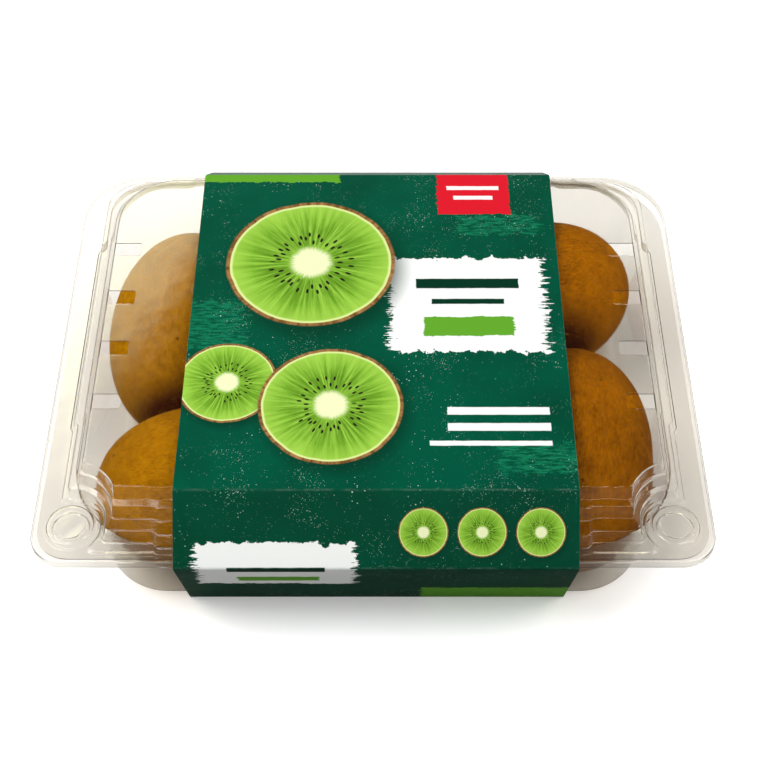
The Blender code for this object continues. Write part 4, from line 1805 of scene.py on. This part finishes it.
@dataclass
class Stage:
    """Pale floor, soft lights and the camera."""

    focus: tuple[float, float, float] = (2.95, -3.76, 25.0)
    elevation: float = 51.48
    distance: float = 452.39
    lens: float = 71.0
    lamps: tuple[Lamp, ...] = (Lamp("key", (-0.55, -0.02, 1.0), 0.7, 12.0),
                               Lamp("fill", (0.55, -0.15, 0.95), 0.6, 6.0))
    # Side of the floor in metres, how far it lies under the pack in millimetres, and its two greys
    floor_size: float = 3.0
    floor_drop: float = 0.02
    floor_greys: tuple[float, float] = (0.94, 0.96)
    floor_cloud_scale: float = 3.0
    floor_roughness: float = 0.8
    # Share of its brightness the floor loses as a light on the pack
    bounce_loss: float = 0.55
    # Share it loses where it is mirrored from more than this far in front of the pack's middle
    mirror_loss: float = 0.85
    front_floor: float = 60.0
    floor_lift: float = 0.22
    lid_height: float = 49.1
    world_light: float = 0.45
    mirrored_world: Colour = (1.0, 0.93, 0.74)
    mirrored_front: Colour = (0.12, 0.11, 0.08)
    strip_light: Colour = (9.0, 8.4, 6.2)
    # Where the strip begins and ends and how softly, in the lid's y
    strip: tuple[float, float] = (-640.0, -565.0)
    strip_soft: float = 20.0
    # The dim patch round the lid: half its width, its front and its back, each with its softness
    mirrored_lid: float = 0.02
    patch_half: tuple[float, float] = (125.0, 50.0)
    patch_front: tuple[float, float] = (-330.0, 60.0)
    patch_back: tuple[float, float] = (110.0, 50.0)
    glow: Colour = (3.8, 3.85, 2.6)
    # The way over the lid along which the glow grows, where it begins and how softly,
    # and its left and back ends with their softness
    glow_way: tuple[float, float] = (-0.83, 0.56)
    glow_edge: float = 55.0
    glow_soft: float = 30.0
    glow_left: float = -125.0
    glow_back: float = 105.0

    def eye(self) -> Array:
        """Place of the camera in millimetres."""
        down = math.radians(self.elevation)
        return np.array(self.focus) - np.array((0.0, math.cos(down), -math.sin(down))) * self.distance

    def floor(self) -> None:
        """Wide pale floor just under the pack: white to the eye, dimmer as a light on the pack."""
        patches = Patchwork()
        half = 0.5 * self.floor_size / MM
        x, y = np.meshgrid(np.linspace(-half, half, 3), np.linspace(-half, half, 3), indexing="ij")
        patches.add(lifted(flat_points(x, y), -self.floor_drop))
        material, tree, shader = new_material("pale_floor")
        place = coordinates(tree)
        cloud = noise(tree, place, self.floor_cloud_scale, detail=2.0)
        low, high = self.floor_greys
        white = blend(tree, 3 * (low,), 3 * (high,), cloud)
        path = tree.nodes.new("ShaderNodeLightPath")
        diffuse, seen = (Field(tree, path.outputs[f"Is {kind} Ray"]) for kind in ("Diffuse", "Camera"))
        mirrored = Field(tree, path.outputs["Glossy Depth"]).math("MINIMUM", 1.0)
        parts = tree.nodes.new("ShaderNodeSeparateXYZ")
        tree.links.new(place.socket, parts.inputs["Vector"])
        in_front = Field(tree, parts.outputs["Y"]).below(-self.front_floor * MM, 0.02)
        dim = (diffuse * self.bounce_loss).math("MAXIMUM", mirrored * in_front * self.mirror_loss)
        connect(tree, blend(tree, white, BLACK, dim), shader.inputs["Base Color"])
        shader.inputs["Roughness"].default_value = self.floor_roughness
        connect(tree, WHITE, shader.inputs["Emission Color"])
        connect(tree, seen * self.floor_lift, shader.inputs["Emission Strength"])
        made = patches.to_object("floor", [material], recalculate=False)

    def surroundings(self) -> None:
        """White surroundings that light the pack.  Mirrored they are dim, most so in the lid.

        A direction (X, Y, Z) is mirrored to the camera by the lid's point x = X/Z h + the
        camera's x and y = Y/Z h + the camera's y, with h the camera's height over the lid.
        A glow lies where the way across and back is past its edge: the back left of the lid.
        A strip of light over the camera gives the front's small bends thin bright lines.
        """
        world = bpy.data.worlds.new("studio")
        world.use_nodes = True
        tree = world.node_tree
        background = tree.nodes["Background"]
        parts = tree.nodes.new("ShaderNodeSeparateXYZ")
        tree.links.new(tree.nodes.new("ShaderNodeTexCoord").outputs["Generated"], parts.inputs["Vector"])
        eye = self.eye()
        height = Field(tree, parts.outputs["Z"]).math("MAXIMUM", 0.05) / float(eye[2] - self.lid_height)
        lid_x = Field(tree, parts.outputs["X"]) / height + float(eye[0])
        lid_y = Field(tree, parts.outputs["Y"]) / height + float(eye[1])
        across, back = self.glow_way
        share = (lid_x * across + lid_y * back).above(self.glow_edge, self.glow_soft)
        share = share * share * (share * -2.0 + 3.0)
        share = share * lid_x.above(self.glow_left, self.glow_soft)
        share = share * lid_y.below(self.glow_back, self.glow_soft)
        on_lid = lid_x.size().below(*self.patch_half) * lid_y.above(*self.patch_front)
        on_lid = on_lid * lid_y.below(*self.patch_back)
        strip = lid_y.above(self.strip[0], self.strip_soft) * lid_y.below(self.strip[1], self.strip_soft)
        in_front = Field(tree, parts.outputs["Y"]).below(-0.1, 0.3)
        mirrored = blend(tree, self.mirrored_world, self.mirrored_front, in_front)
        mirrored = blend(tree, mirrored, self.strip_light, strip)
        mirrored = blend(tree, mirrored, 3 * (self.mirrored_lid,), on_lid)
        mirrored = blend(tree, mirrored, self.glow, share)
        path = tree.nodes.new("ShaderNodeLightPath")
        glossy = Field(tree, path.outputs["Is Glossy Ray"])
        connect(tree, blend(tree, 3 * (self.world_light,), mirrored, glossy), background.inputs["Color"])
        bpy.context.scene.world = world

    def camera(self) -> None:
        """Camera that looks down on the pack's front, at the photograph's angle."""
        forward = np.array(self.focus) - self.eye()
        data = bpy.data.cameras.new("camera")
        data.lens = self.lens
        data.sensor_width = 36.0
        data.clip_start = 0.01
        made = bpy.data.objects.new("camera", data)
        made.location = self.eye() * MM
        made.rotation_euler = Vector(forward).to_track_quat("-Z", "Y").to_euler()
        bpy.context.scene.collection.objects.link(made)
        bpy.context.scene.camera = made

    def build(self) -> None:
        """Set the stage and the plain way of showing colours."""
        self.floor()
        self.surroundings()
        for lamp in self.lamps:
            lamp.build()
        self.camera()
        bpy.context.scene.view_settings.view_transform = "Standard"


FRUITS = (
    Kiwifruit("kiwi_back_left", "fruit_back_left", place=(-57.7, 15.9), turn=-3.0, tilt=8.0,
              size=(45.7, 68.6, 45.3), skin=Skin.OLIVE, seed=11),
    Kiwifruit("kiwi_back_middle", "fruit_back_middle", place=(-8.6, 24.0), turn=4.0, tilt=-3.0,
              size=(46.0, 62.0, 45.0), skin=Skin.BROWN, seed=12),
    Kiwifruit("kiwi_back_right", "fruit_back_right", place=(49.2, 29.0), turn=119.0, tilt=1.0,
              size=(48.4, 63.8, 46.0), skin=Skin.BROWN_LIT, seed=13),
    Kiwifruit("kiwi_front_left", "fruit_front_left", place=(-46.4, -40.8), turn=93.0, tilt=-2.0,
              size=(47.8, 64.0, 46.0), skin=Skin.GOLDEN, seed=14),
    Kiwifruit("kiwi_front_middle", "fruit_front_middle", place=(10.6, -34.2), turn=-6.0, tilt=4.0,
              size=(45.0, 59.0, 44.6), skin=Skin.BROWN, seed=15),
    Kiwifruit("kiwi_front_right", "fruit_front_right", place=(57.2, -30.6), turn=-3.0, tilt=9.0,
              size=(45.7, 67.6, 45.3), skin=Skin.BROWN, seed=16),
)


def main() -> None:
    """Build every piece in order and report it."""
    logging.basicConfig(level=logging.INFO, format="%(message)s")
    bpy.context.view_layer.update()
    shell = Clamshell().build(ClearSheet())
    LOG.info("clear pack: %d faces", len(shell.data.polygons))
    pattern, hair = SkinPattern().build(), FineHair().build()
    skins = {skin: skin.value.build(pattern) for skin in Skin}
    for fruit in FRUITS:
        fruit.build(skins[fruit.skin], hair)
        LOG.info("fruit %s laid in the tray", fruit.name)
    sleeve = Sleeve().build(Print(), PlainCard())
    LOG.info("sleeve: %d faces", len(sleeve.data.polygons))
    Stage().build()
    LOG.info("sizes written")


if __name__ == "__main__":
    main()
